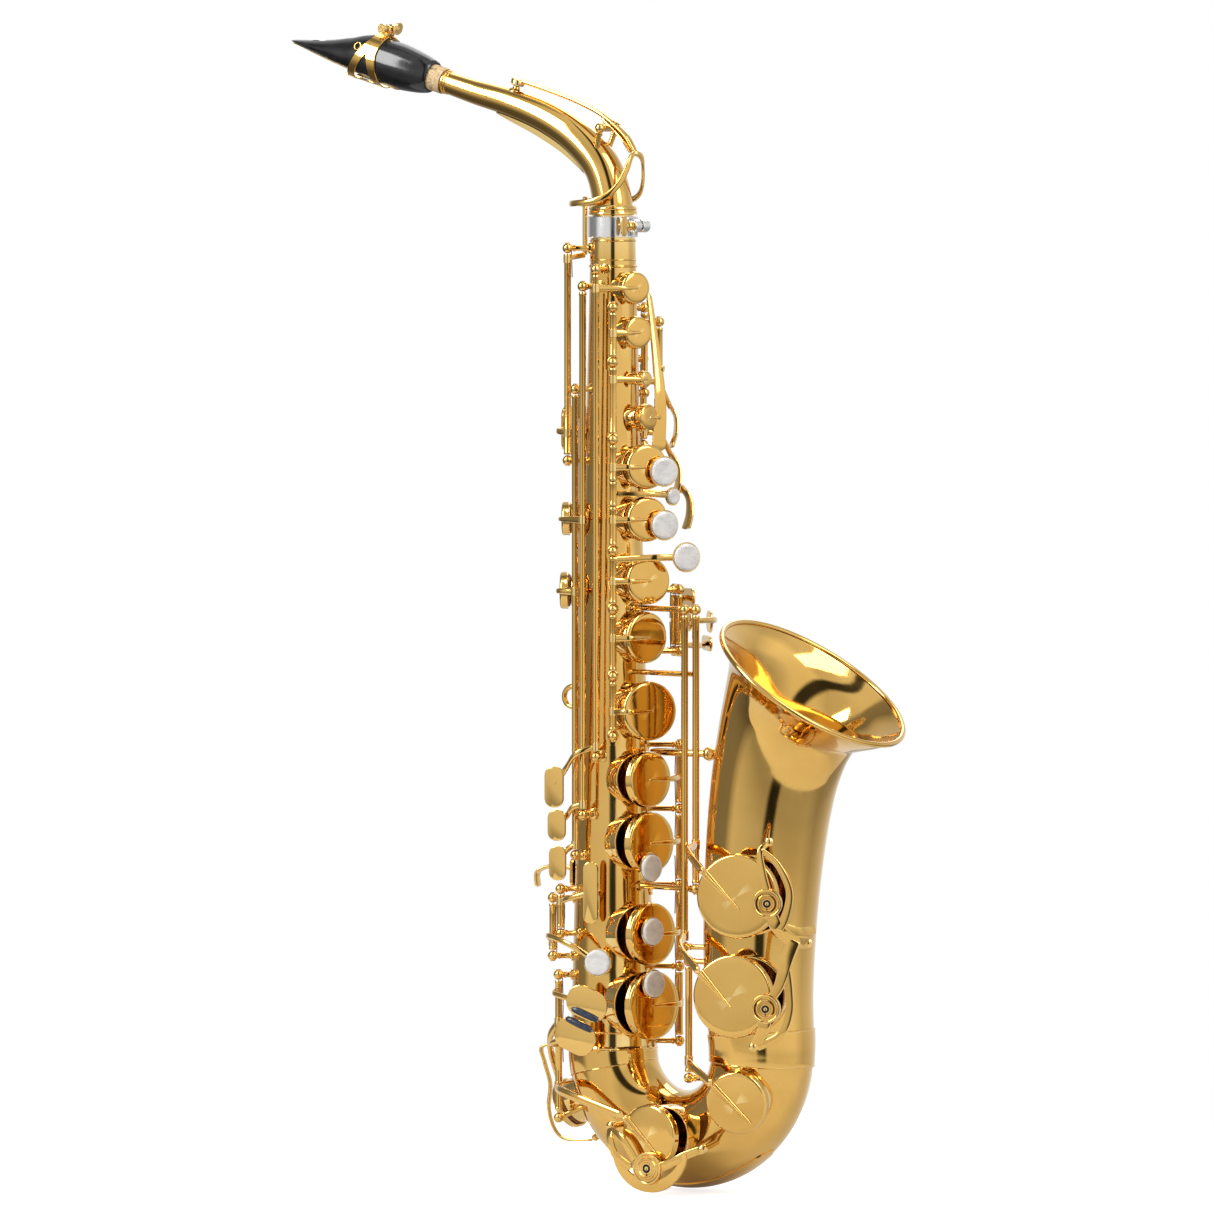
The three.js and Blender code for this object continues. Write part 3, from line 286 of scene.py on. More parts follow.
# ---------- finishes ----------
def node_material(name, slot):
    """An empty node material with its Principled shader and record slot."""
    material = bpy.data.materials.new(name)
    material.use_nodes = True
    material["slot"] = slot
    tree = material.node_tree
    return material, tree, tree.nodes["Principled BSDF"]


def noise(tree, scale, detail=4.0, stretch=(1, 1, 1), roughness=0.55):
    """Noise read in the object's own space; `scale` counts cells across a metre."""
    coordinates = tree.nodes.new("ShaderNodeTexCoord")
    mapping = tree.nodes.new("ShaderNodeMapping")
    mapping.inputs["Scale"].default_value = stretch
    texture = tree.nodes.new("ShaderNodeTexNoise")
    texture.inputs["Scale"].default_value = scale
    texture.inputs["Detail"].default_value = detail
    texture.inputs["Roughness"].default_value = roughness
    tree.links.new(coordinates.outputs["Object"], mapping.inputs["Vector"])
    tree.links.new(mapping.outputs["Vector"], texture.inputs["Vector"])
    return texture.outputs["Fac"]


def ramp(tree, factor, stops):
    """A colour ramp through (position, rgb) stops."""
    node = tree.nodes.new("ShaderNodeValToRGB")
    elements = node.color_ramp.elements
    while len(elements) < len(stops):
        elements.new(0.5)
    for element, (position, colour) in zip(elements, stops):
        element.position = position
        element.color = (*colour, 1)
    tree.links.new(factor, node.inputs["Fac"])
    return node.outputs["Color"]


def spread(tree, factor, low, high, start=0.3, stop=0.7):
    """Maps a factor from start..stop to low..high."""
    node = tree.nodes.new("ShaderNodeMapRange")
    for name, value in (("From Min", start), ("From Max", stop), ("To Min", low), ("To Max", high)):
        node.inputs[name].default_value = value
    tree.links.new(factor, node.inputs["Value"])
    return node.outputs["Result"]


def blend_colours(tree, factor, first, second, mode="MIX"):
    """Mixes two colours."""
    node = tree.nodes.new("ShaderNodeMix")
    node.data_type = "RGBA"
    node.blend_type = mode
    for socket, value in ((node.inputs["Factor"], factor), (node.inputs["A"], first),
                          (node.inputs["B"], second)):
        if isinstance(value, (int, float)):
            socket.default_value = value
        elif isinstance(value, tuple):
            socket.default_value = (*value, 1)
        else:
            tree.links.new(value, socket)
    return node.outputs["Result"]


def bump(tree, shader, height, strength, distance):
    """Adds fine relief to a shader."""
    node = tree.nodes.new("ShaderNodeBump")
    node.inputs["Strength"].default_value = strength
    node.inputs["Distance"].default_value = distance
    tree.links.new(height, node.inputs["Height"])
    tree.links.new(node.outputs["Normal"], shader.inputs["Normal"])


def worn(tree, colour, light, low=0.52, high=0.6):
    """Lightens a colour along outer edges, where handling polishes them."""
    geometry = tree.nodes.new("ShaderNodeNewGeometry")
    edge = spread(tree, geometry.outputs["Pointiness"], 0.0, 1.0, low, high)
    return blend_colours(tree, edge, colour, light)


def metal(name, slot, colours, roughness, polish=0.25, lacquer=0.0, tint=(1, 1, 1)):
    """Polished metal: drifting tone, faint smudges, hairline scratches, bright worn edges, clear lacquer."""
    material, tree, shader = node_material(name, slot)
    drift = noise(tree, 26, 5)
    smudge = noise(tree, 140, 6, (1, 1, 0.6))
    hairline = noise(tree, 900, 3, (1, 1, 0.04))
    tone = ramp(tree, drift, [(0.3, colours[0]), (0.7, colours[1])])
    shader.inputs["Metallic"].default_value = 1.0
    tree.links.new(worn(tree, tone, colours[2]), shader.inputs["Base Color"])
    mix = tree.nodes.new("ShaderNodeMath")
    mix.operation = "MULTIPLY"
    tree.links.new(spread(tree, smudge, 0.85, 1.5), mix.inputs[0])
    tree.links.new(spread(tree, drift, roughness, roughness * 1.5), mix.inputs[1])
    tree.links.new(mix.outputs[0], shader.inputs["Roughness"])
    bump(tree, shader, hairline, polish, 0.00002)
    shader.inputs["Coat Weight"].default_value = lacquer
    shader.inputs["Coat Roughness"].default_value = 0.04
    shader.inputs["Coat Tint"].default_value = (*tint, 1)
    return material


def ebonite():
    """Black hard rubber for the mouthpiece."""
    material, tree, shader = node_material("black_ebonite", "ebonite")
    grain = noise(tree, 120, 5)
    fine = noise(tree, 1500, 3, (1, 1, 1))
    tree.links.new(ramp(tree, grain, [(0.35, (0.004, 0.004, 0.005)), (0.7, (0.014, 0.013, 0.014))]),
                   shader.inputs["Base Color"])
    tree.links.new(spread(tree, grain, 0.09, 0.2), shader.inputs["Roughness"])
    shader.inputs["Specular IOR Level"].default_value = 0.6
    bump(tree, shader, fine, 0.06, 0.00003)
    return material


def cork():
    """Speckled cork."""
    material, tree, shader = node_material("pressed_cork", "cork")
    grain = noise(tree, 700, 6)
    flecks = noise(tree, 260, 4, roughness=0.8)
    base = ramp(tree, grain, [(0.3, (0.42, 0.28, 0.13)), (0.55, (0.62, 0.45, 0.25)),
                              (0.75, (0.72, 0.56, 0.34))])
    dark = ramp(tree, flecks, [(0.38, (0.16, 0.08, 0.03)), (0.45, (1, 1, 1))])
    tree.links.new(blend_colours(tree, 0.7, base, dark, "MULTIPLY"), shader.inputs["Base Color"])
    shader.inputs["Roughness"].default_value = 0.85
    bump(tree, shader, grain, 0.5, 0.0003)
    return material


def cane():
    """Pale cane with grain along the reed."""
    material, tree, shader = node_material("cut_cane", "cane")
    fibre = noise(tree, 1100, 4, (0.05, 1, 1))
    tree.links.new(ramp(tree, fibre, [(0.3, (0.55, 0.38, 0.15)), (0.7, (0.78, 0.62, 0.33))]),
                   shader.inputs["Base Color"])
    shader.inputs["Roughness"].default_value = 0.55
    bump(tree, shader, fibre, 0.3, 0.0001)
    return material


def nacre():
    """Cloudy mother-of-pearl."""
    material, tree, shader = node_material("mother_of_pearl", "pearl")
    cloud = noise(tree, 160, 5, (1, 1, 2.2))
    swirl = noise(tree, 420, 4, (1, 2.5, 1))
    base = ramp(tree, cloud, [(0.3, (0.56, 0.54, 0.52)), (0.5, (0.68, 0.66, 0.64)),
                              (0.72, (0.76, 0.74, 0.71))])
    glow = ramp(tree, swirl, [(0.35, (0.86, 0.9, 0.94)), (0.5, (0.97, 0.96, 0.95)),
                              (0.65, (0.98, 0.92, 0.9))])
    tree.links.new(blend_colours(tree, 0.55, base, glow, "MULTIPLY"), shader.inputs["Base Color"])
    tree.links.new(spread(tree, cloud, 0.1, 0.24), shader.inputs["Roughness"])
    shader.inputs["Coat Weight"].default_value = 0.6
    shader.inputs["Subsurface Weight"].default_value = 0.15
    shader.inputs["Subsurface Radius"].default_value = (0.002, 0.0016, 0.0014)
    bump(tree, shader, swirl, 0.12, 0.00006)
    return material


def leather():
    """Pad leather."""
    material, tree, shader = node_material("pad_leather", "pad_leather")
    pores = noise(tree, 1600, 4)
    patch = noise(tree, 180, 4)
    tree.links.new(ramp(tree, patch, [(0.3, (0.2, 0.09, 0.035)), (0.7, (0.36, 0.18, 0.08))]),
                   shader.inputs["Base Color"])
    shader.inputs["Roughness"].default_value = 0.6
    bump(tree, shader, pores, 0.5, 0.0002)
    return material


def dull(name, slot, dark, light, roughness, scale, depth):
    """Felt, plastic and rubber: two close tones with a fine grain."""
    material, tree, shader = node_material(name, slot)
    grain = noise(tree, scale, 5)
    tree.links.new(ramp(tree, grain, [(0.3, dark), (0.7, light)]), shader.inputs["Base Color"])
    tree.links.new(spread(tree, grain, roughness * 0.85, min(1.0, roughness * 1.2)),
                   shader.inputs["Roughness"])
    bump(tree, shader, grain, 0.3, depth)
    return material


AMBER = [(0.72, 0.43, 0.1), (0.8, 0.51, 0.14), (0.92, 0.68, 0.27)]
BRASS = metal("lacquered_brass", "lacquered_brass", AMBER, 0.055, 0.12, 0.5, (1.0, 0.94, 0.82))
SILVER = metal("silver_plate", "silver_plate",
               [(0.66, 0.65, 0.63), (0.78, 0.77, 0.75), (0.92, 0.92, 0.91)], 0.12, 0.2)
# Blued steel for springs and pins; the same dark finish also paints the shade of the pivot screws' slots.
STEEL_AND_SLOT_SHADE = metal("blued_steel_and_slot_shade", "lacquered_brass",
              [(0.05, 0.06, 0.1), (0.1, 0.11, 0.16), (0.3, 0.3, 0.32)], 0.25, 0.2)
EBONITE = ebonite()
CORK = cork()
CANE = cane()
PEARL = nacre()
LEATHER = leather()
# Black felt under the guards' screws; the same finish also paints the shade of those screws' slots.
FELT_AND_SLOT_SHADE = dull("black_felt_and_slot_shade", "ebonite", (0.006, 0.006, 0.007), (0.03, 0.028, 0.03), 0.95, 1400, 0.0004)
ROLLER = dull("blue_black_roller", "ebonite", (0.012, 0.016, 0.035), (0.03, 0.037, 0.065), 0.22, 300, 0.00005)


# ---------- pieces ----------
def piece(name, shape, finishes, body, nodes=(), smooth=40):
    """Makes the mesh in the frame, gives it its finishes and lets it ride on a CAD body."""
    mesh = bpy.data.meshes.new(name)
    mesh.from_pydata([place(point) for point in shape.points], [], shape.faces)
    finishes = finishes if isinstance(finishes, (list, tuple)) else [finishes]
    for finish in finishes:
        mesh.materials.append(finish)
    mesh.polygons.foreach_set("material_index", shape.finish)
    mesh.polygons.foreach_set("use_smooth", [True] * len(mesh.polygons))
    mesh.set_sharp_from_angle(angle=math.radians(smooth))
    mesh.validate()
    thing = bpy.data.objects.new(name, mesh)
    bpy.context.scene.collection.objects.link(thing)
    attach(thing, body)
    if nodes:
        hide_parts(*nodes)
    return thing


def carve(thing, tool):
    """Cuts a shape out of a piece."""
    mesh = bpy.data.meshes.new("cutter")
    mesh.from_pydata([place(point) for point in tool.points], [], tool.faces)
    cutter = bpy.data.objects.new("cutter", mesh)
    bpy.context.scene.collection.objects.link(cutter)
    modifier = thing.modifiers.new("carve", "BOOLEAN")
    modifier.operation = "DIFFERENCE"
    modifier.solver = "EXACT"
    modifier.use_self = True
    modifier.object = cutter
    depsgraph = bpy.context.evaluated_depsgraph_get()
    result = bpy.data.meshes.new_from_object(thing.evaluated_get(depsgraph))
    thing.modifiers.clear()
    thing.data = result
    bpy.data.objects.remove(cutter)
    result.polygons.foreach_set("use_smooth", [True] * len(result.polygons))
    result.set_sharp_from_angle(angle=math.radians(35))
    return thing


# ---------- places on the horn ----------
def outward(angle):
    """The level direction at this angle round the body tube."""
    return Vector((math.cos(math.radians(angle)), math.sin(math.radians(angle)), 0))


def polar(angle, distance, z):
    """A point by its angle and distance from the body tube's axis, and its height."""
    return outward(angle) * distance + Vector((0, 0, z))


def body_radius(z):
    """The body tube's outer radius at a height."""
    return BODY_TOP_RADIUS + BODY_TAPER * (542 - z)


def bow_point(angle):
    """A point on the bow's centreline, by its angle round the bend."""
    a = math.radians(angle)
    return Vector((BOW_CENTRE_X + BOW_BEND * math.cos(a), 0, BOW_CENTRE_Z + BOW_BEND * math.sin(a)))


BELL_LINE = Path([(102, 0, 84.8), (102, 0, 91), (100.1, 0, 118), (100.5, 0, 155), (103.1, 0, 194),
                  (107.8, 0, 231), (113.2, 0, 256), (122.5, 0, 281), (136.2, 0, 301)])
BELL_RADII = [(0, 30.2), (0.12, 31.3), (0.5, 34.3), (0.67, 36), (0.78, 37.8), (0.87, 41), (0.94, 48),
              (1, 60.4)]


def eased(table, at):
    """Reads a table of (place, value) pairs along a smooth curve that never overshoots."""
    slopes = [(b[1] - a[1]) / (b[0] - a[0]) for a, b in zip(table, table[1:])]
    inner = [(2 * p * q / (p + q)) if p * q > 0 else 0 for p, q in zip(slopes, slopes[1:])]
    ends = [slopes[0], *inner, slopes[-1]]
    index = max(i for i in range(len(table) - 1) if table[i][0] <= max(at, 0) or i == 0)
    (x0, y0), (x1, y1) = table[index], table[index + 1]
    span = x1 - x0
    t = (at - x0) / span
    return ((2 * t ** 3 - 3 * t ** 2 + 1) * y0 + (t ** 3 - 2 * t ** 2 + t) * span * ends[index]
            + (3 * t ** 2 - 2 * t ** 3) * y1 + (t ** 3 - t ** 2) * span * ends[index + 1])


def bell_radius(along):
    """The bell's outer radius at a share of its length."""
    return eased(BELL_RADII, along)


def bell_centre_x(z):
    """How far out the bell's centreline is at a height, found by halving."""
    low, high = 0.0, 1.0
    for _ in range(30):
        middle = (low + high) / 2
        if BELL_LINE.at(middle).z < z:
            low = middle
        else:
            high = middle
    return BELL_LINE.at(low).x


class Hole:
    """A tone hole: foot on the tube's centreline, outward direction, cup radius and the rim's distance."""

    def __init__(self, foot, direction, cup, rim):
        self.foot = Vector(foot)
        self.direction = Vector(direction).normalized()
        self.cup = cup
        self.rim = rim
        self.pad = rim + SEAT_GAP
        self.floor = self.pad + PAD_THICKNESS + 0.4
        self.skirt = self.floor - 2
        self.top = self.floor + 0.6 + CUP_THICKNESS
        self.across = UP.cross(self.direction).normalized()
        self.along = self.direction.cross(self.across)

    def on_axis(self, distance):
        return self.foot + self.direction * distance

    def beside(self, lateral, up, level):
        return self.on_axis(level) + self.across * lateral + self.along * up


def body_hole(z, angle, cup, rise=RISE):
    """A tone hole on the body tube."""
    return Hole((0, 0, z), outward(angle), cup, body_radius(z) + rise)


def bell_hole(z, angle, cup, tube):
    """A tone hole on the bell, where the tube has this radius."""
    return Hole((bell_centre_x(z), 0, z), outward(angle), cup, tube + RISE + 1.5)


HOLES = {
    "b": body_hole(424.9, -18, 13.2), "a": body_hole(394.4, -18, 13.2), "g": body_hole(358.6, -18, 14),
    "gsharp": body_hole(325.3, -18, 15.2), "low_g": body_hole(282.6, -18, 17.4),
    "fsharp": body_hole(242.8, -25, 16.5), "f": body_hole(205.9, -25, 18.2), "e": body_hole(152.7, -25, 18.4),
    "d": body_hole(111.2, -25, 20.2),
    "high_e": body_hole(529, -27, 9.6), "high_fsharp": body_hole(503, -24, 9.6),
    "octave_vent": body_hole(476, -14, 4.8, 7), "front_f": body_hole(453.5, -9, 8),
    "palm_f": body_hole(505, 118, 9.5), "palm_eb": body_hole(474, 118, 9.5),
    "palm_d": body_hole(442, 118, 9.5),
    "side_c": body_hole(394, -150, 10), "side_bb": body_hole(352, -150, 11),
}
BOW_HOLES = {
    "low_c": Hole((56, 0, 37.5), (0, -1, 0), 19, 28 + RISE + 1.5),
    "low_eb": Hole(bow_point(-157), (-0.92, 0, -0.39), 15, 26.3 + RISE),
    "low_csharp": Hole(bow_point(-21), (0.25, -0.955, -0.16), 18.5, 29 + RISE + 1),
}
BELL_HOLES = {"low_b": bell_hole(179.5, -67, 24.5, 33), "low_bb": bell_hole(121.5, -69, 24.2, 31.6)}


def near_b(right, up, level):
    """A point by the low B hole: to its right, above it, and out from the bell's centreline."""
    return BELL_HOLES["low_b"].beside(right, up, level)


def hinge(body):
    """The hinge line of a key as its joint gives it: a point in design millimetres."""
    return design(JOINTS[body]["pos_m"])


# Lines that hold posts, each named for the body whose joint lies on it.
LINES = {
    "left_stack": hinge("b_key"), "right_stack": hinge("f_key"), "side_outer": hinge("side_c_key"),
    "side_inner": hinge("side_bb_key"), "side_front": hinge("high_e_key"), "octave": hinge("octave_lever"),
    "palm_f": hinge("palm_f_key"), "palm_eb": hinge("palm_eb_key"), "palm_d": hinge("palm_d_key"),
    "front_f": hinge("front_f_key"), "bell_outer": hinge("low_b_key"), "bell_inner": hinge("low_bb_key"),
    "low_csharp": hinge("low_csharp_key"), "pinky": hinge("low_c_key"), "trill": hinge("trill_key"),
    "fsharp_touch": hinge("high_fsharp_touch"), "pinky_table": hinge("low_csharp_touch"),
    "gsharp_table": hinge("gsharp_touch"),
}
POSTS = {
    "left_stack": [268, 303, 342, 376, 441, 486, 518], "right_stack": [262, 224.5, 180, 132.2, 88.5],
    "side_outer": [530, 222], "side_inner": [470, 198], "side_front": [540, 256], "octave": [552, 428],
    "palm_f": [517, 467], "palm_eb": [487, 436.5], "palm_d": [455, 402], "front_f": [509, 447],
    "bell_outer": [342.5, 180], "bell_inner": [342.5], "trill": [172, 138], "fsharp_touch": [178, 152],
    "pinky": [127, 92.6], "pinky_table": [352, 316], "gsharp_table": [352, 316],
}
# Key tubes on each line, as their two end heights.
TUBES = {
    "b_key": (417, 437.6), "a_key": (379.4, 401.6), "g_key": (345.4, 372.6), "low_g_key": (271.4, 299.6),
    "fsharp_key": (227.9, 258.6), "f_key": (183.4, 221.1), "e_key": (135.6, 176.6), "d_key": (91.9, 128.8),
    "bis_key": (402.2, 416.4), "high_e_key": (259.3, 536.7), "side_c_key": (225.3, 526.7),
    "side_bb_key": (201.3, 466.7), "high_fsharp_key": (489.3, 514.7), "high_fsharp_touch": (155.3, 174.7),
    "octave_vent_key": (444.3, 482.7), "front_f_key": (450.3, 505.7), "octave_lever": (431.3, 548.7),
    "palm_f_key": (470.3, 513.7), "palm_eb_key": (439.8, 483.7), "palm_d_key": (405.3, 451.7),
    "gsharp_key": (306.3, 338.7), "gsharp_touch": (319.3, 348.7), "low_csharp_touch": (319.3, 348.7),
    "low_b_key": (183.3, 339.2), "low_bb_key": (149.8, 339.2), "low_csharp_key": (73.3, 134.7),
    "low_c_key": (47.4, 89.3), "low_eb_key": (95.9, 123.7), "trill_key": (141.3, 168.7),
}


def at(line, z):
    """A point on a named line, or on a key's own hinge, at a height."""
    point = LINES[line] if line in LINES else hinge(line)
    return Vector((point.x, point.y, z))


# ---------- posts ----------
def sphere_arc(radius, centre, start=-62, stop=90, steps=12):
    """Profile points round a ball from one latitude to another."""
    return [
        (radius * math.cos(a), centre + radius * math.sin(a))
        for a in (math.radians(start + (stop - start) * k / steps) for k in range(steps + 1))]


def pillar(shape, foot, head):
    """A turned post: flange, waisted stem, collar and round head."""
    foot, head = Vector(foot), Vector(head)
    reach = (head - foot).length
    profile = [(3.3, 1.4), (3.3, 2.7), (2.9, 3.1), (1.9, 3.3), (POST_STEM, 4.0)]
    if reach > 9.5:
        profile += [(POST_STEM, reach - 4.6), (2.1, reach - 4.1), (2.1, reach - 3.5), (1.5, reach - 3.1)]
    profile += sphere_arc(POST_BALL, reach)
    lathe(shape, foot, head - foot, profile, 24)


def pivot_screw(shape, centre, direction):
    """A pivot screw let into a post's head; its slot is a thin dark strip laid on the head, painted shade in
    place of a cut groove.
    """
    direction = Vector(direction)
    start = Vector(centre) + direction * 2.4
    lathe(shape, start, direction, [(1.5, 0), (1.5, 0.55), (1.3, 0.75), (0.01, 0.8)], 20, 0)
    # The slot: a thin dark strip on the head, painted shade standing in for a cut groove.
    plate(shape, start + direction * 0.7, direction, (0.6, 0.8, 0), 2.3, 0.36, 0.16, 0.1, 1)


def body_posts():
    """Posts in rows along the body, their pivot screws, and a needle spring at each key's end."""
    posts, screws, springs = Shape(), Shape(), Shape()
    for line, heights in POSTS.items():
        on_line = [TUBES[key] for key in TUBES if (hinge(key) - LINES[line]).xy.length < 0.2]
        for z in heights:
            head = at(line, z)
            foot = head.copy()
            foot.z = 0
            foot = foot.normalized() * (body_radius(z) - 2)
            foot.z = z
            pillar(posts, foot, head)
            above = any(abs(low - z - POST_TO_TUBE) < SAME_PLACE for low, high in on_line)
            below = any(abs(z - high - POST_TO_TUBE) < SAME_PLACE for low, high in on_line)
            if not above:
                pivot_screw(screws, head, UP)
            if not below:
                pivot_screw(screws, head, -UP)
            inward = (foot - head).normalized()
            start = head + inward * 2.2
            if above:
                rod(springs, start, start + UP * SPRING_LENGTH + inward * 0.5, SPRING_RADIUS, 8, 0, 0.1)
            if below:
                rod(springs, start, start - UP * SPRING_LENGTH + inward * 0.5, SPRING_RADIUS, 8, 0, 0.1)
    piece("body_posts", posts, BRASS, "horn")
    piece("pivot_screws", screws, [BRASS, STEEL_AND_SLOT_SHADE], "horn")
    piece("needle_springs", springs, STEEL_AND_SLOT_SHADE, "horn")


# ---------- shells ----------
def chimney(shape, h):
    """A drawn tone hole rim with a softly rounded lip."""
    outer = h.cup - 1.4
    inner = outer - CHIMNEY_WALL
    low = h.rim - RISE - 5
    profile = [(outer, low), (outer, h.rim - 0.7), (outer - 0.2, h.rim - 0.2), (outer - 0.6, h.rim),
               (inner + 0.2, h.rim), (inner, h.rim - 0.3), (inner, low)]
    lathe(shape, h.foot, h.direction, profile, 56 if h.cup > 12 else 36, 0, True)


def chimney_cutter(shape, h):
    """The bore that opens a tone hole through the tube's wall."""
    rod(shape, h.on_axis(h.rim - RISE - 9), h.on_axis(h.rim + 2), h.cup - 1.4 - CHIMNEY_WALL + 0.05, 48)


def body_tube():
    """The body tube with its tone holes, rings and post ribs."""
    shape, tool = Shape(), Shape()
    low = BOW_CENTRE_Z + 0.4
    heights = [low + (BODY_TOP - low) * k / 40 for k in range(41)]
    outer = [(body_radius(z), z) for z in heights]
    inner = [(body_radius(z) - WALL, z) for z in reversed(heights)]
    lathe(shape, (0, 0, 0), UP, outer + inner, 96, 0, True)
    for h in HOLES.values():
        chimney_cutter(tool, h)
    tube = piece("body_shell", shape, BRASS, "horn", ["body_tube"])
    carve(tube, tool)
    rims = Shape()
    for h in HOLES.values():
        chimney(rims, h)
    for z, size in ((541.5, 0.75), (545.2, 0.45), (556.4, 0.6), (94.2, 0.6)):
        torus(rims, (0, 0, z), UP, body_radius(z), size, 72)
    for line, low_z, high_z, width in (("left_stack", 262, 350, 9), ("left_stack", 370, 446, 9),
                                       ("left_stack", 480, 524, 9), ("right_stack", 84, 138, 9),
                                       ("right_stack", 174, 268, 9)):
        rib(rims, line, low_z, high_z, width)
    for line in ("bell_outer", "bell_inner"):
        head = at(line, 305)
        angle = math.degrees(math.atan2(head.y, head.x))
        reach = math.hypot(head.x, head.y)
        rod(rims, polar(angle, body_radius(305) - 2, 305), polar(angle, reach - ROD - 0.35, 305), 1.5, 16)
    piece("body_fittings", rims, BRASS, "horn")


def rib(shape, line, low, high, width):
    """A strap soldered along the tube under a row of posts."""
    head = LINES[line]
    angle = math.degrees(math.atan2(head.y, head.x))
    rings = []
    for k in range(25):
        z = low + (high - low) * k / 24
        radius = body_radius(z)
        half = math.degrees(width / 2 / radius) * (0.55 if k in (0, 24) else 1)
        inner = [polar(angle + half * (2 * j / 6 - 1), radius - 0.4, z) for j in range(7)]
        outer = [polar(angle - half * 0.92 * (2 * j / 6 - 1), radius + 0.95, z) for j in range(7)]
        rings.append(inner + outer)
    shape.grid(rings)


def bow_radius(t):
    """The bow's outer radius at a share of its length."""
    start, low, end = BOW_RADII
    return eased([(0, start), (0.5, low), (1, end)], t)


def bow():
    """The bow with its tone holes, posts, guard stays and shield."""
    shape, tool = Shape(), Shape()
    line = Path([bow_point(180 + 9 * k) for k in range(21)])
    bent(shape, line, bow_radius, 60, 96, WALL)
    for h in BOW_HOLES.values():
        chimney_cutter(tool, h)
    shell = piece("bow_shell", shape, BRASS, "horn", ["bow"])
    carve(shell, tool)
    fittings = Shape()
    for h in BOW_HOLES.values():
        chimney(fittings, h)
    pinky = at("pinky", 43)
    pillar(fittings, pinky.lerp(bow_point(209), 0.6), pinky)
    pillar(fittings, (78, -12, 70), at("low_csharp", 70))
    for start, end in (((28, -16, 42.6), (28, -46, 42.6)), ((86, -14, 36), (90, -46, 31.7)),
                       ((-16, 5, 73), (-31, 11, 79)), ((0, 5, 42), (-18, 8, 29))):
        stay(fittings, start, end)
    # the long soldered shield that takes the knocks under the bow
    rings = []
    for k in range(33):
        t = 0.2 + 0.56 * k / 32
        centre, tangent = line.at(t), line.tangent(t)
        out = Vector((tangent.z, 0, -tangent.x))
        if out.dot(centre - Vector((BOW_CENTRE_X, 0, BOW_CENTRE_Z))) < 0:
            out = -out
        radius = bow_radius(t)
        half = 24 * math.sqrt(max(0.0, 1 - (2 * k / 32 - 1) ** 4)) + 1
        inner = [half * (2 * j / 8 - 1) for j in range(9)]
        ring = [centre + out * ((radius - 0.3) * math.cos(math.radians(a))) + Vector(
            (0, (radius - 0.3) * math.sin(math.radians(a)), 0)) for a in inner]
        ring += [centre + out * ((radius + 0.55) * math.cos(math.radians(a))) + Vector(
            (0, (radius + 0.55) * math.sin(math.radians(a)), 0)) for a in reversed(inner)]
        rings.append(ring)
    fittings.grid(rings)
    piece("bow_fittings", fittings, BRASS, "horn")


def stay(shape, start, end):
    """A short turned leg that carries a guard."""
    start, end = Vector(start), Vector(end)
    length = (end - start).length
    profile = [(1.6, 0), (1.6, length - 3), (2.2, length - 2.6), (2.2, length - 0.5), (1.8, length)]
    lathe(shape, start, end - start, profile, 20)


def bell():
    """The bell with its tone holes, rolled rim, posts and guard stays."""
    shape, tool = Shape(), Shape()
    bent(shape, BELL_LINE, bell_radius, 110, 128, 1.3)
    for h in BELL_HOLES.values():
        chimney_cutter(tool, h)
    shell = piece("bell_shell", shape, BRASS, "horn", ["bell"])
    carve(shell, tool)
    fittings = Shape()
    for h in BELL_HOLES.values():
        chimney(fittings, h)
    torus(fittings, BELL_LINE.at(1), BELL_LINE.tangent(1), 59.9, 1.7, 160, 0, (0, 1, 0))
    pillar(fittings, (82, -14, 146.5), at("bell_inner", 146.5))
    pillar(fittings, (82, -14, 138), at("low_csharp", 138))
    for start, end in ((near_b(7.5, 32, 31.5), near_b(12.5, 32, 56)),
                       (near_b(23, -27, 21), near_b(33, -27, 40.6)),
                       (near_b(-1, -86, 27.5), near_b(3, -86.5, 53.6))):
        stay(fittings, start, end)
    piece("bell_fittings", fittings, BRASS, "horn")


def ferrules():
    """Thin soldered bands, each with a fine bead at its edges, that follow the bend of the tube."""
    lower, upper = Shape(), Shape()
    turns = 13
    line = Path([bow_point(180 + turns * k / 8) for k in range(9)])
    radius = BOW_RADII[0] + 0.75
    bent(lower, line, lambda t: radius, 12, 96, 0.7)
    for t in (0, 1):
        torus(lower, line.at(t), line.tangent(t), radius - 0.1, 0.42, 96, 0, SIDE)
    lathe(lower, (0, 0, 0), UP, [(body_radius(86) - 0.2, 84.6), (radius, 84.6), (radius + 0.2, 85.2),
                                 (radius - 0.4, 86.2), (body_radius(86) - 0.2, 86.4)], 96, 0, True)
    line = Path([bow_point(-5), bow_point(-2), (102, 0, 84.6), BELL_LINE.at(0.02), BELL_LINE.at(0.038),
                 BELL_LINE.at(0.056)])
    start, end = BOW_RADII[2] + 0.75, bell_radius(0.056) + 0.75
    bent(upper, line, lambda t: start + (end - start) * t, 16, 112, 0.7)
    for t, size in ((0, start), (1, end)):
        torus(upper, line.at(t), line.tangent(t), size - 0.1, 0.4, 112, 0, SIDE)
    piece("body_ferrule", lower, BRASS, "horn", ["body_bow_ring"], 25)
    piece("bell_ferrule", upper, BRASS, "horn", ["bell_bow_ring"], 25)


# ---------- key parts ----------
def cup(shape, h):
    """A pad cup: skirt, rolled lip, stepped crown."""
    r, top = h.cup, h.top
    profile = [(0, h.floor), (r - 0.9, h.floor), (r - 0.9, h.skirt), (r - 0.25, h.skirt), (r, h.skirt + 0.3),
               (r, h.skirt + 1.0), (r - 0.2, h.skirt + 1.3), (r - 0.2, top - 1.7), (r - 0.45, top - 1.0),
               (r - 1.0, top - 0.5), (r - 1.8, top - 0.28), (0.82 * r - 0.5, top - 0.2),
               (0.5 * r, top - 0.02),
               (0.2 * r, top + 0.02), (0, top + 0.02)]
    lathe(shape, h.foot, h.direction, profile, 64 if r > 12 else 44)


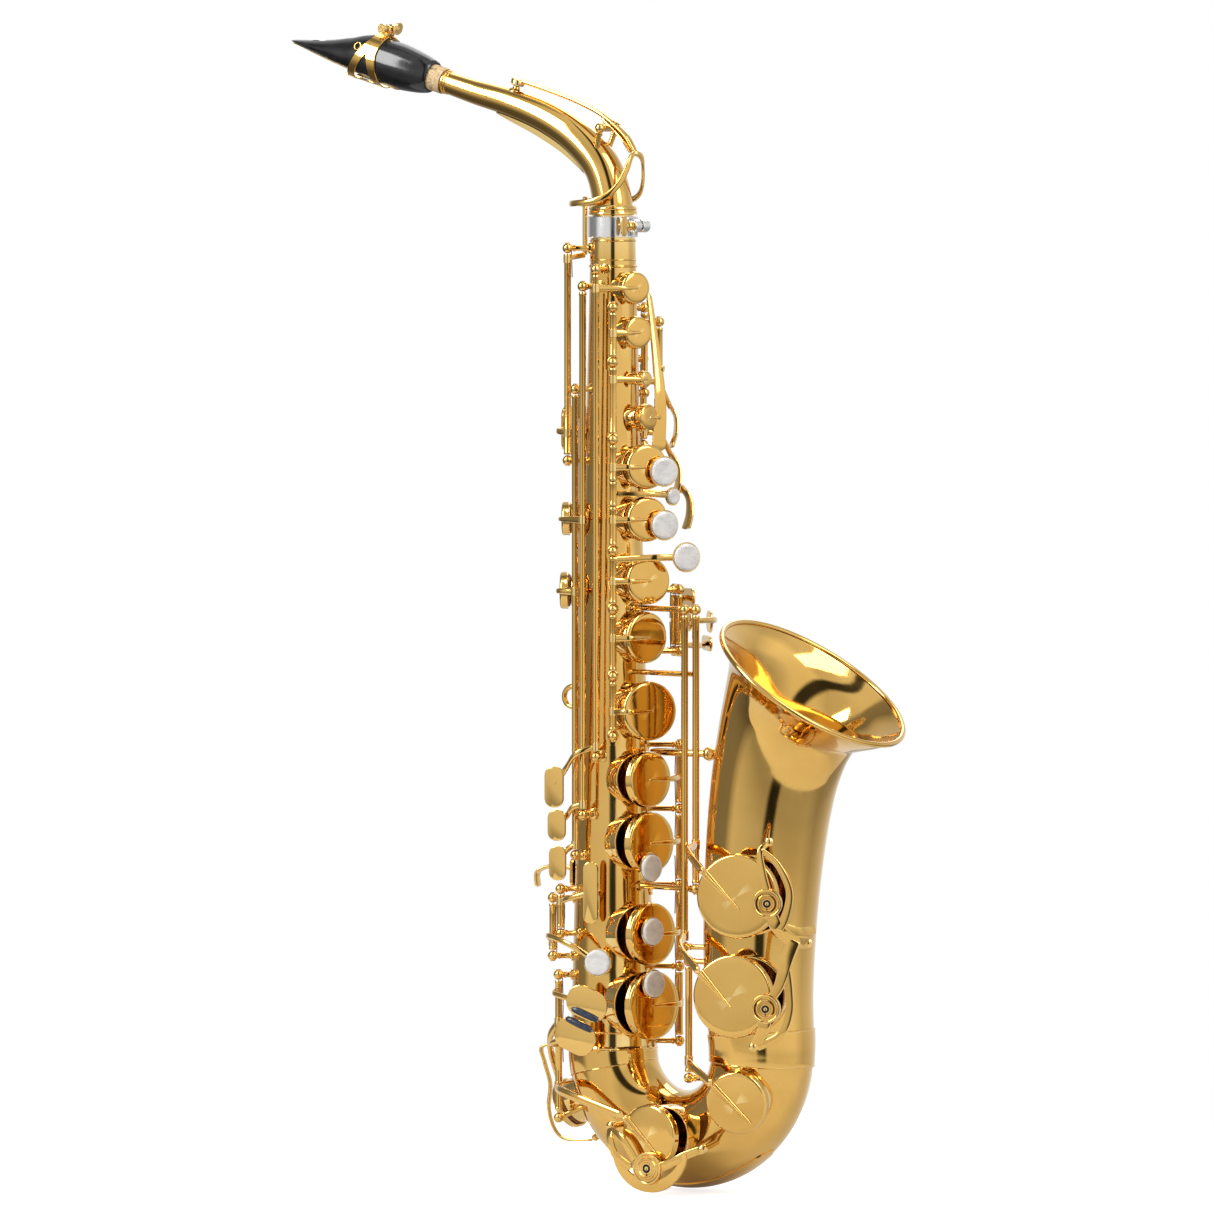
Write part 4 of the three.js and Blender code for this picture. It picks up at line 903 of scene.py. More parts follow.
def pad(shape, h, leather_finish=0, metal_finish=1):
    """A crowned leather pad with its domed metal resonator."""
    r = h.cup - PAD_INSET
    low, high = h.pad, h.pad + PAD_THICKNESS
    profile = [(0, low), (0.5 * r, low), (0.8 * r, low + 0.02), (0.93 * r, low + 0.25), (r, low + 0.9),
               (r, high - 0.3), (r - 0.3, high), (0, high)]
    lathe(shape, h.foot, h.direction, profile, 48, leather_finish)
    if h.cup > 9:
        size = 0.5 * r
        lathe(shape, h.foot, h.direction, [(0, low - 0.35), (0.3 * size, low - 0.3), (0.9 * size, low - 0.12),
                                           (size, low + 0.05), (0, low + 0.06)], 36, metal_finish)
        lathe(shape, h.foot, h.direction, [(0, low - 0.7), (0.9, low - 0.6), (1.2, low - 0.2), (0, low)], 16,
              metal_finish)


def cup_arm(shape, h, key, z, width=4.8):
    """An arm from the hinge over the cup's edge, tapering to a low ridge that ends past its middle."""
    start = at(key, z)
    reach = (start - h.foot).dot(h.across)
    rise = (start - h.foot).dot(h.direction)
    way = math.copysign(1, reach)
    edge = h.beside(way * min(0.9 * h.cup, 0.8 * abs(reach)), 0, max(h.top + 0.5, min(rise, h.top + 3)))
    edge.z = z
    bar(shape, [start, edge, h.beside(way * 0.35 * h.cup, 0, h.top + 0.2),
                h.beside(-way * 0.12 * h.cup, 0, h.top)],
        width, 3.0, UP, 1.4, 1.2, 34, 0.85)


def key_tube(shape, key):
    """The hinge tube with a collar at each end."""
    low, high = TUBES[key]
    start = at(key, low)
    length = high - low
    profile = [(1.4, 0), (2.1, 0.15), (2.3, 0.5), (2.3, 1.5), (2.15, 1.8), (TUBE_RADIUS, 2.1)]
    profile += [(TUBE_RADIUS, length - 2.1), (2.15, length - 1.8), (2.3, length - 1.5), (2.3, length - 0.5),
                (2.1, length - 0.15), (1.4, length)]
    lathe(shape, start, UP, profile, 24)


def collar(shape, key, z, half=2.6):
    """A thicker sleeve on a key's tube, where an arm joins it."""
    start = at(key, z - half)
    lathe(shape, start, UP, [(ROD, 0), (2.5, 0.3), (2.5, 2 * half - 0.3), (ROD, 2 * half)], 24)


def touch(shape, path, centre, normal, long, length, width, arm_width=3.4):
    """A rounded finger plate on an arm that leaves the key's tube."""
    normal = Vector(normal)
    centre = Vector(centre)
    plate(shape, centre, normal, long, length, width)
    bar(shape, [*path, centre + normal * 0.6], arm_width, 2.2, steps=24, square=0.8)


def pearl_holder(shape, centre, direction, radius, rise=0.2):
    """The dished metal cup that a pearl sits in."""
    profile = [(0, -1.8), (0.6 * radius, -1.8), (0.75 * radius, -1.6), (radius + 0.55, -0.6),
               (radius + 0.8, -0.2),
               (radius + 0.8, rise), (radius + 0.55, rise + 0.25), (radius + 0.2, rise + 0.2),
               (radius + 0.1, -0.2),
               (0, -0.2)]
    lathe(shape, centre, direction, profile, 44)


def pearl(shape, centre, direction, radius, height=0.5):
    """A pearl button: straight side, rounded shoulder, very slightly dished top."""
    base = height - 0.5
    profile = [(0, base), (radius, base), (radius, height + 0.7), (radius - 0.25, height + 1.25),
               (radius - 0.9, height + 1.7), (radius - 1.8, height + 1.8), (0.5 * radius, height + 1.66),
               (0, height + 1.6)]
    lathe(shape, centre, direction, profile, 44)


class Key:
    """A key's pieces, built closed in design coordinates, then turned to where its spring holds it."""

    def __init__(self, body, stands_open=False):
        self.body = body
        self.metal = Shape()
        self.extras = {}
        joint = JOINTS[body]
        self.origin = hinge(body)
        self.axis = Vector(joint["axis"])
        self.angle = math.radians(-joint["range_deg"][0]) if stands_open else 0.0
        if body in TUBES:
            key_tube(self.metal, body)

    def extra(self, name, finishes, nodes=()):
        shape = Shape()
        self.extras[name] = (shape, finishes, nodes)
        return shape

    def add_cup(self, h, z=None, own_pad_node=None, arm=True):
        z = h.foot.z if z is None else z
        cup(self.metal, h)
        if arm:
            cup_arm(self.metal, h, self.body, z)
            collar(self.metal, self.body, z)
        nodes = [own_pad_node] if own_pad_node else []
        pad(self.extra(self.body + "_pad_leather", [LEATHER, BRASS], nodes), h)

    def add_pearl(self, centre, direction, radius, nodes=(), height=0.5, tag="_pearl_touch"):
        pearl(self.extra(self.body + tag, PEARL, nodes), centre, direction, radius, height)

    def finish(self):
        made = {self.body + "_metal": (self.metal, BRASS, [self.body]), **self.extras}
        for name, (shape, finishes, nodes) in made.items():
            if self.angle:
                shape.turn(self.origin, self.axis, self.angle)
            piece(name, shape, finishes, self.body, nodes)


# ---------- stack keys ----------
STACK_PEARLS = {"b_key": (8.5, -2.6, 8.2), "a_key": (8.5, -3.4, 8.2), "f_key": (-5, -14, 7.8),
                "e_key": (-5, 2, 7.8), "d_key": (-5, 13, 7.8)}
G_TOUCH_AT = Vector((47, 3.5, 372.5))


def stack_keys():
    """The eight stack keys, which a spring holds open."""
    for body in ("b_key", "a_key", "g_key", "low_g_key", "fsharp_key", "f_key", "e_key", "d_key"):
        h = HOLES[body.replace("_key", "")]
        key = Key(body, True)
        key.add_cup(h, None, body.replace("_key", "_pad") if body in ("e_key", "d_key") else None)
        if body in STACK_PEARLS:
            lateral, up, radius = STACK_PEARLS[body]
            centre = h.beside(lateral, up, h.top + PEARL_LEVEL)
            root = h.beside(lateral * 0.4, up * 0.4, h.top - 0.6)
            pearl_holder(key.metal, centre, h.direction, radius)
            rod(key.metal, root, centre - h.direction, 1.7, 16)
            key.add_pearl(centre, h.direction, radius, [body.replace("_key", "_pearl")])
        if body == "g_key":
            direction = outward(-20)
            crest = h.beside(0, 0, 41)
            crest.z = G_TOUCH_AT.z
            bar(key.metal, [at(body, 371), crest, G_TOUCH_AT - direction * 1.4], 4, 2.2, steps=28, square=0.8)
            pearl_holder(key.metal, G_TOUCH_AT, direction, 8)
            key.add_pearl(G_TOUCH_AT, direction, 8, ["g_pearl"])
        key.finish()


def bis_key():
    """The small pearl key between the A and B pearls."""
    key = Key("bis_key")
    centre, direction = Vector((38.6, 3.6, 407.5)), outward(-18)
    crest = HOLES["a"].beside(1, 0, 37)
    crest.z = 409
    bar(key.metal, [at("bis_key", 409.3), crest, centre - direction * 1.3], 3.4, 2, steps=28, square=0.8)
    pearl_holder(key.metal, centre, direction, 4.6, 0.6)
    key.add_pearl(centre, direction, 4.6, (), 0.4)
    key.finish()


def side_keys():
    """The high E, C and B flat side keys with their palm-side touches."""
    facing = outward(-80)
    rows = [
        ("high_e_key", "high_e", 529, 262, [(-2, -37, 258), (-12, -32.5, 249)], (-19.5, -33, 237.9), 24.2,
         12),
        ("side_c_key", "side_c", None, 228, [(-8, -32, 226), (-13, -30, 221)], (-17.7, -33, 215.6), 18.4,
         11.4),
        ("side_bb_key", "side_bb", None, 204, [(-13, -30.2, 201)], (-17.1, -33, 193.4), 20.2, 10.8),
    ]
    for body, hole_name, z, arm_z, path, centre, length, width in rows:
        key = Key(body)
        key.add_cup(HOLES[hole_name], z)
        collar(key.metal, body, arm_z)
        touch(key.metal, [at(body, arm_z), *map(Vector, path)], centre, facing, UP, length, width)
        key.finish()


FRONT_F_SIDE = Vector((0.5, 0.85, 0))


def upper_keys():
    """High F sharp, the octave vent, the front F lever and the thumb's octave lever."""
    for body, hole_name in (("high_fsharp_key", "high_fsharp"), ("octave_vent_key", "octave_vent")):
        key = Key(body)
        key.add_cup(HOLES[hole_name])
        key.finish()
    key = Key("high_fsharp_touch")
    collar(key.metal, "high_fsharp_touch", 171)
    touch(key.metal, [at("high_fsharp_touch", 171), Vector((-8, -37, 173))], (7, -35.2, 177), outward(-78),
          UP, 36,
          9.4)
    key.finish()
    key = Key("front_f_key")
    key.add_cup(HOLES["front_f"])
    bar(key.metal, [(18.5, 9.5, 526), (25.5, 7, 489), (29.5, 5, 462), (29, 3.5, 433)], 3.4, 1.8, FRONT_F_SIDE,
        9.5,
        steps=40, square=0.7)
    bar(key.metal, [at("front_f_key", 482), Vector((27, 12, 482)), Vector((28.5, 7.5, 481))], 4, 2.2,
        square=0.8)
    key.finish()
    key = Key("octave_lever")
    pin = Vector((-20.5, 2, 548))
    touch(key.metal, [at("octave_lever", 444), Vector((-31, -11, 445))], (-31, 2, 446), (-1, 0, 0), UP, 28,
          15)
    bar(key.metal, [at("octave_lever", 546), Vector((-23, -6, 547)), pin], 3.4, 2.4, square=0.8)
    rod(key.metal, pin, pin + UP * 34, 1.5, 20, 0, 0.5)
    collar(key.metal, "octave_lever", 444)
    collar(key.metal, "octave_lever", 545.8)
    key.finish()


def palm_keys():
    """The three palm keys, each with a curved touch."""
    for body, hole_name, arm_z, reach, touch_z, angle in (
            ("palm_f_key", "palm_f", 474, 30, 448, 44), ("palm_eb_key", "palm_eb", 444, 33, 419, 52),
            ("palm_d_key", "palm_d", 409, 42, 400, 58)):
        key = Key(body)
        key.add_cup(HOLES[hole_name])
        collar(key.metal, body, arm_z)
        facing = outward(angle)
        bar(key.metal, [at(body, arm_z), polar((angle + 84) / 2 + 8, reach + 4, arm_z - 1.5),
                        polar(angle + 5, reach + 5.5, touch_z + 10)], 3.6, 2.4, steps=28, square=0.8)
        bar(key.metal, [polar(angle + 6, reach + 5, touch_z + 12), polar(angle, reach + 7.4, touch_z + 5),
                        polar(angle - 2, reach + 7.2, touch_z - 4),
                        polar(angle - 3, reach + 4.4, touch_z - 13)],
            6, 1.8, UP.cross(facing), 10.5, 1.8, 44, 0.55)
        key.finish()


TABLE_NORMAL, TABLE_BACK = outward(50), outward(140)


def table_spot(along, z, reach=48):
    """A point on the left little finger's table."""
    return TABLE_NORMAL * reach + TABLE_BACK * along + Vector((0, 0, z))


def table_keys():
    """The G sharp key, and the G sharp and low C sharp touches on the table."""
    key = Key("gsharp_key")
    key.add_cup(HOLES["gsharp"])
    key.finish()
    for body, z, bend_point, spot, length, width in (
            ("gsharp_touch", 345, (22, 40, 346), table_spot(7, 347), 22, 11),
            ("low_csharp_touch", 331, (30, 36, 332), table_spot(8, 333.5), 15, 13)):
        key = Key(body)
        collar(key.metal, body, z)
        touch(key.metal, [at(body, z), Vector(bend_point)], spot, TABLE_NORMAL, TABLE_BACK, length, width)
        key.finish()


def over_edge(h, lateral=0, up=0):
    """A point just above a cup's crown."""
    return h.beside(lateral, up, h.top + 0.2)


def low_arm(shape, h, body, z, path, end):
    """A long arm that reaches a big cup's edge, then lies across it as a tapering spine."""
    turns = [at(body, z), *path]
    bar(shape, turns, 5.4, 3.2, UP, 5.2, 2.8, 34, 0.8)
    bar(shape, [path[-1] - h.direction * 0.4, path[-1].lerp(end, 0.5), end], 5.2, 2.8, h.direction.cross(
        end - path[-1]).normalized(), 1.2, 1.6, 30, 0.8)
    groove = h.direction * 1.5
    bar(shape, [path[-1] + groove, path[-1].lerp(end, 0.8) + groove * 0.7], 1.6, 0.9, h.direction.cross(
        end - path[-1]).normalized(), 0.8, 0.5, 24, 0.8)
    collar(shape, body, z, 3.0)


PINKY_TILT = 22
PINKY_LONG = outward(10) * math.cos(math.radians(PINKY_TILT)) - UP * math.sin(math.radians(PINKY_TILT))
ROLLER_LENGTH = 17.0
ROLLER_RADIUS = 2.1


def roller(key, centre):
    """A barrel-shaped roller on a steel pin, let into the edge of a little-finger plate."""
    shape = key.extra(key.body + "_roller", [ROLLER, STEEL_AND_SLOT_SHADE])
    half = ROLLER_LENGTH / 2
    start = centre - PINKY_LONG * half
    profile = [(0.7 * ROLLER_RADIUS, 0), (0.82 * ROLLER_RADIUS, 0.4), (0.96 * ROLLER_RADIUS, half * 0.45),
               (ROLLER_RADIUS, half), (0.96 * ROLLER_RADIUS, half * 1.55),
               (0.82 * ROLLER_RADIUS, 2 * half - 0.4),
               (0.7 * ROLLER_RADIUS, 2 * half)]
    lathe(shape, start, PINKY_LONG, profile, 28)
    rod(shape, start - PINKY_LONG * 1.2, start + PINKY_LONG * (2 * half + 1.2), 0.6, 12, 1)


def low_keys():
    """The five big low keys with long arms; all but low C sharp carry their own little-finger touch."""
    b, bb = BELL_HOLES["low_b"], BELL_HOLES["low_bb"]
    sharp, c, eb = BOW_HOLES["low_csharp"], BOW_HOLES["low_c"], BOW_HOLES["low_eb"]
    rows = [
        ("low_b_key", b, 206, [Vector((80, -38, 203)), over_edge(b, -20, 14)], (2, -8), True, "low_b_pad"),
        ("low_bb_key", bb, 153, [Vector((74, -38, 147)), over_edge(bb, -20, 14)], (0, -7), True,
         "low_bb_pad"),
        ("low_csharp_key", sharp, 80, [Vector((76, -36, 79)), over_edge(sharp, -14, 11)], (9, -12), False,
         None),
        ("low_c_key", c, 61.6, [Vector((-8, -40, 61)), over_edge(c, -17, 11)], (6, -9), True, "low_c_pad"),
        ("low_eb_key", eb, 99, [Vector((-35, -14, 88)), over_edge(eb, -2, 12)], (0, -4), False, None),
    ]
    pinky_normal = outward(-80)
    for body, h, z, path, end, stands_open, pad_node in rows:
        key = Key(body, stands_open)
        key.add_cup(h, None, pad_node, False)
        low_arm(key.metal, h, body, z, path, over_edge(h, *end))
        if body == "low_b_key":
            touch(key.metal, [at(body, 336), Vector((62, 6, 336)), Vector((52, 20, 335))],
                  table_spot(-9, 333.5),
                  TABLE_NORMAL, TABLE_BACK, 15, 13)
        if body == "low_bb_key":
            touch(key.metal, [at(body, 322), Vector((54, 2, 321)), Vector((44, 18, 320))],
                  table_spot(-1, 320.5),
                  TABLE_NORMAL, TABLE_BACK, 28, 9)
        if body == "low_c_key":
            touch(key.metal, [at(body, 86), Vector((-20, -34, 88))], (1.3, -38.5, 93.3), pinky_normal,
                  PINKY_LONG,
                  27, 19.4)
            roller(key, Vector((4.9, -40.2, 100.5)))
        if body == "low_eb_key":
            touch(key.metal, [at(body, 118), Vector((-19, -34, 117))], (7.2, -39.5, 112.6), pinky_normal,
                  PINKY_LONG, 26, 18.4)
            roller(key, Vector((6.6, -41.2, 106.4)))
        key.finish()


def trill_key():
    """The trill lever with its pearl touch. It has no cup."""
    key = Key("trill_key")
    centre, direction = Vector((12.4, -36.6, 136.6)), outward(-71)
    path = [at("trill_key", 146), Vector((-22, -36, 151)), Vector((-2, -42, 146)), centre - direction * 1.3]
    bar(key.metal, path, 3.4, 2.2, steps=36, square=0.8)
    collar(key.metal, "trill_key", 146)
    pearl_holder(key.metal, centre, direction, 7.6, 0.6)
    key.add_pearl(centre, direction, 7.6, (), 0.4)
    key.finish()


# ---------- neck ----------
NECK_LINE = Path([(0, 0, 571.4), (-1.2, 0, 583), (-7.5, 0, 599.5), (-24, 0, 616), (-45.5, 0, 628.2),
                  (-71.3, 0, 637.3), (-95, 0, 643.4), (-116.3, 0, 649.5)])
NECK_RADII = (12, 6.6)
PIPE_END = NECK_LINE.at(1)
PIPE_AXIS = (NECK_LINE.at(1) - NECK_LINE.at(0.998)).normalized()
PIPE_UP = Vector((PIPE_AXIS.z, 0, -PIPE_AXIS.x))
MOUTHPIECE_START = 9


def along_pipe(distance, rise=0.0):
    """A point on the mouthpiece's axis, measured from the neck's end."""
    return PIPE_END + PIPE_AXIS * distance + PIPE_UP * rise


def neck_radius(along):
    """The neck tube's outer radius at a share of its length."""
    return NECK_RADII[0] + (NECK_RADII[1] - NECK_RADII[0]) * along


PIP_AT = 0.68
PIP_FOOT = NECK_LINE.at(PIP_AT)
PIP_TANGENT = NECK_LINE.tangent(PIP_AT)
PIP_OUT = Vector((PIP_TANGENT.z, 0, -PIP_TANGENT.x))
PIP_HEIGHT = 10.4
PIP_TOP = PIP_FOOT + PIP_OUT * PIP_HEIGHT
OCTAVE_HINGE = design(JOINTS["neck_octave_key"]["pos_m"])


def neck_brace(shape):
    """A ribbed strip soldered along the inside of the bend, thinning towards both ends."""
    rings = []
    steps = 48
    for k in range(steps + 1):
        t = k / steps
        along = 0.22 + 0.51 * t
        centre, tangent = NECK_LINE.at(along), NECK_LINE.tangent(along)
        under = Vector((-tangent.z, 0, tangent.x))
        depth = 0.3 + 2.9 * math.sin(math.pi * t) ** 0.6
        inner = neck_radius(along) - 0.5
        outer = neck_radius(along) + depth
        ridge = outer - 0.5 * min(depth, 1)
        ring = [(-3.4, inner), (3.4, inner), (3.2, ridge), (2.0, outer), (1.1, outer), (0.6, ridge),
                (-0.6, ridge),
                (-1.1, outer), (-2.0, outer), (-3.2, ridge)]
        rings.append([centre + under * reach + SIDE * y for y, reach in ring])
    shape.grid(rings)


def neck():
    """The neck tube with its tenon collar, octave pip, brace and cork."""
    shape = Shape()
    bent(shape, NECK_LINE, neck_radius, 90, 72, 1.0)
    lathe(shape, (0, 0, 0), UP, [(11.4, 571.3), (13.6, 571.3), (14.2, 571.9), (14.2, 573.2), (13.7, 573.8),
                                 (13.7, 574.4), (14.1, 574.9), (13.7, 576), (12.4, 577.2), (11.4, 577.2)],
          72, 0, True)
    lathe(shape, (0, 0, 0), UP, [(11.6, 548), (11.6, 572), (10.6, 572), (10.6, 548)], 64, 0, True)
    lathe(shape, PIPE_END - PIPE_AXIS, PIPE_AXIS, [(6.6, 0), (6.6, 18), (5.6, 18), (5.6, 0)], 48, 0, True)
    for back, size in ((1.5, 0.55), (3.4, 0.35)):
        torus(shape, PIPE_END - PIPE_AXIS * back, PIPE_AXIS, 6.75, size, 56, 0, SIDE)
    # octave pip with its rounded foot
    lathe(shape, PIP_FOOT, PIP_OUT, [(4.4, 6.0), (4.4, 7.4), (3.9, 8.2), (2.4, 8.8), (2.1, 9.2), (2.1, 10.0),
                                     (1.8, PIP_HEIGHT), (0.9, PIP_HEIGHT), (0.9, 6.0)], 32, 0, True)
    neck_brace(shape)
    for y in (5, -5):
        pillar(shape, (-9, y, 604), (OCTAVE_HINGE.x, 9 if y > 0 else -9, OCTAVE_HINGE.z))
    piece("neck_shell", shape, BRASS, "neck", ["neck_tube"])
    sleeve = Shape()
    lathe(sleeve, along_pipe(0.3), PIPE_AXIS,
          [(6.9, 0), (7.5, 0), (7.8, 0.4), (7.8, 15), (7.5, 16), (6.9, 16)],
          48, 0, True)
    piece("neck_cork_sleeve", sleeve, CORK, "neck", ["neck_cork"])


def neck_octave_key():
    """The lever over the neck, with its pad and the ring that the thumb's pin lifts."""
    shape = Shape()
    hinge_point = OCTAVE_HINGE
    lathe(shape, hinge_point - SIDE * 5.4, SIDE, [(1.6, 0), (2.1, 0.3), (2.1, 10.5), (1.6, 10.8)], 24)
    pad_base = PIP_TOP + PIP_OUT * 0.5
    spine = [(15, 0, 608), (12.6, 0, 612), (8.5, 0, 617.8), (-6.5, 0, 629.5), (-24, 0, 637.5),
             (-45, 0, 644.5),
             pad_base + PIP_OUT * 3.4]
    bar(shape, spine, 4.6, 2.8, SIDE, 4.2, 2.8, 70, 0.6)
    bar(shape, [(13.5, 0, 607.5), (7, 0, 616), (-7, 0, 628)], 7.4, 1.5, SIDE, 4.6, 1.5, 36, 0.6)
    bar(shape, [hinge_point, hinge_point + Vector((-1.5, 0, 4)), Vector((-6.5, 0, 630))], 4.4, 3.2, SIDE,
        square=0.8)
    lathe(shape, (-0.5, 0, 621.5), (0.62, 0, 0.78), [(2.3, 2.6), (2.3, 5.5), (0.01, 5.6)], 20)
    lathe(shape, pad_base, PIP_OUT, [(3.7, 1.0), (4.2, 1.0), (4.2, 2.9), (3.7, 3.5), (0.01, 3.7)], 32)
    plate(shape, pad_base + PIP_OUT * 3.2, PIP_OUT, PIP_TANGENT, 7.5, 5.5, 1.6, 0.2)
    for side in (1, -1):
        path = [(15, 0, 608), polar(side * 20, 17, 605), polar(side * 33, 17.6, 597),
                polar(side * 48, 17.8, 589),
                polar(side * 66, 18.4, 583.5), polar(side * 90, 20, 580), polar(side * 130, 24, 578.2),
                polar(side * 160, 25, 578), polar(side * 181, 25, 578.2)]
        bar(shape, path, 3.6, 2.0, steps=80, square=0.8)
    piece("neck_octave_key_metal", shape, BRASS, "neck_octave_key", ["neck_octave_key"])
    disc = Shape()
    lathe(disc, pad_base, PIP_OUT, [(0.01, 0), (3.4, 0), (3.9, 0.3), (3.9, 1.3), (0.01, 1.4)], 32)
    piece("neck_octave_pad", disc, CORK, "neck_octave_key")


def receiver():
    """The split receiver that clamps the neck's tenon, and its screw."""
    shape, tool = Shape(), Shape()
    profile = [(12.3, 558.4), (14.3, 558.4), (14.6, 558.7), (14.6, 570.2), (14.3, 570.6), (12.3, 570.6)]
    lathe(shape, (0, 0, 0), UP, profile, 96, 0, True)
    for start, length in ((-7.2, 6.0), (0.7, 7.2)):
        barrel = [(0.01, 0), (3.3, 0), (3.8, 0.5), (3.8, length - 0.5), (3.3, length), (0.01, length)]
        lathe(shape, (17.5, start, 565), SIDE, barrel, 40)
        plate(shape, (15.4, start + 0.6, 565), SIDE, (1, 0, 0), 5, 7, length - 1.2, 0.05)
    plate(tool, (15.5, -1.0, 565), SIDE, (1, 0, 0), 14, 20, 1.5, 0.02)
    carve(piece("receiver_clamp", shape, SILVER, "horn", ["neck_receiver"]), tool)
    screw = Shape()
    start = Vector((17.5, -15, 565))
    lathe(screw, start, SIDE, [(0.9, 0), (1.45, 0.5), (1.45, 23.6), (1.0, 24)], 24)
    lathe(screw, start + SIDE * 3.6, SIDE, sphere_arc(2.7, 1.6, -75, 75, 14), 32)
    plate(screw, (16.9, -16, 565), (1, 0, 0), UP, 12, 6.5, 1.4)
    piece("neck_screw_metal", screw, BRASS, "neck_screw", ["neck_clamp_screw"])


# ---------- mouthpiece ----------
def loft(shape, rows, origin, axis, up, sides=72, finish=0, steps=60):
    """Smooth oval sections along an axis: rows of (height, half width, half depth, shift)."""
    across = Vector(axis).cross(up)
    columns = [[(row[0], row[k]) for row in rows] for k in (1, 2, 3)]
    first, last = rows[0][0], rows[-1][0]
    rings = []
    for step in range(steps + 1):
        height = first + (last - first) * step / steps
        half_width, half_depth, shift = (eased(column, height) for column in columns)
        rings.append([
            origin + axis * height + up * (half_depth * math.cos(a) + shift)
            + across * (half_width * math.sin(a))
            for a in (2 * math.pi * k / sides for k in range(sides))])
    shape.grid(rings, finish=finish)


def block(shape, origin, axis, up, sizes, centre):
    """A plain box used for cutting, its sides along up, across and axis."""
    across = Vector(axis).cross(up)
    x, y, z = (size / 2 for size in sizes)
    middle = origin + up * centre[0] + across * centre[1] + axis * centre[2]
    rings = [[middle + axis * h + up * a + across * b for a, b in ((x, y), (-x, y), (-x, -y), (x, -y))]
             for h in (-z, z)]
    shape.grid(rings)


MOUTH_ROWS = [(0, 9.0, 9.0, 0), (0.8, 9.8, 9.8, 0), (12, 12.5, 12.5, 0), (26, 14, 14, 0), (40, 14.2, 14.2, 0),
              (50, 14, 12.5, -0.8), (60, 13.3, 10.2, -2.8), (72, 11.8, 6.5, -3.7), (84, 10.2, 3.6, -4.6),
              (97, 8.2, 0.8, -5.2)]
LIGATURE_RADIUS = 14.6
LIGATURE_SHEET = 0.7


def mouthpiece():
    """The mouthpiece with its bore and window, the reed and the ligature."""
    start = along_pipe(MOUTHPIECE_START)
    shape, tool = Shape(), Shape()
    loft(shape, MOUTH_ROWS, start, PIPE_AXIS, PIPE_UP, 96, 0, 100)
    table_start = start + PIPE_AXIS * 24 - PIPE_UP * 10.7
    tip = start + PIPE_AXIS * 97.5 - PIPE_UP * 5.7
    run = (tip - table_start).normalized()
    rise = (PIPE_UP - run * PIPE_UP.dot(run)).normalized()
    block(tool, table_start, run, rise, (12, 40, 116), (-6, 0, 52))
    rod(tool, along_pipe(MOUTHPIECE_START - 3), along_pipe(MOUTHPIECE_START + 32), 8.2, 48)
    rod(tool, along_pipe(MOUTHPIECE_START + 30), along_pipe(MOUTHPIECE_START + 52), 6, 40)
    block(tool, table_start, run, rise, (10, 10.5, 34), (3, 0, 45))
    body = piece("mouthpiece_shell", shape, EBONITE, "mouthpiece", ["mouthpiece"])
    carve(body, tool)
    blade = Shape()
    loft(blade, [(-3, 6, 1.3, -1.7), (40, 6.4, 1.2, -1.6), (73.5, 6.6, 0.25, -0.6)], table_start, run, rise,
         32, 0, 40)
    piece("reed_blade", blade, CANE, "mouthpiece", ["reed"])
    ligature(start)


def sleeve_strip(shape, start, edges):
    """Sheet wrapped round the mouthpiece: rows of (angle from the top, nearer edge, further edge)."""
    across = PIPE_AXIS.cross(PIPE_UP)

    def spot(angle, distance, radius):
        a = math.radians(angle)
        ring = PIPE_UP * (radius * math.cos(a)) + across * (radius * math.sin(a))
        return start + PIPE_AXIS * distance + ring
    rings = []
    for (a0, near0, far0), (a1, near1, far1) in zip(edges, edges[1:]):
        steps = max(2, int(abs(a1 - a0) / 5))
        for k in range(steps + (a1 == edges[-1][0])):
            t = k / steps
            angle, near, far = a0 + (a1 - a0) * t, near0 + (near1 - near0) * t, far0 + (far1 - far0) * t
            outer = LIGATURE_RADIUS + LIGATURE_SHEET
            rings.append([spot(angle, near, LIGATURE_RADIUS), spot(angle, far, LIGATURE_RADIUS),
                          spot(angle, far - 0.25, outer), spot(angle, near + 0.25, outer)])
    shape.grid(rings)


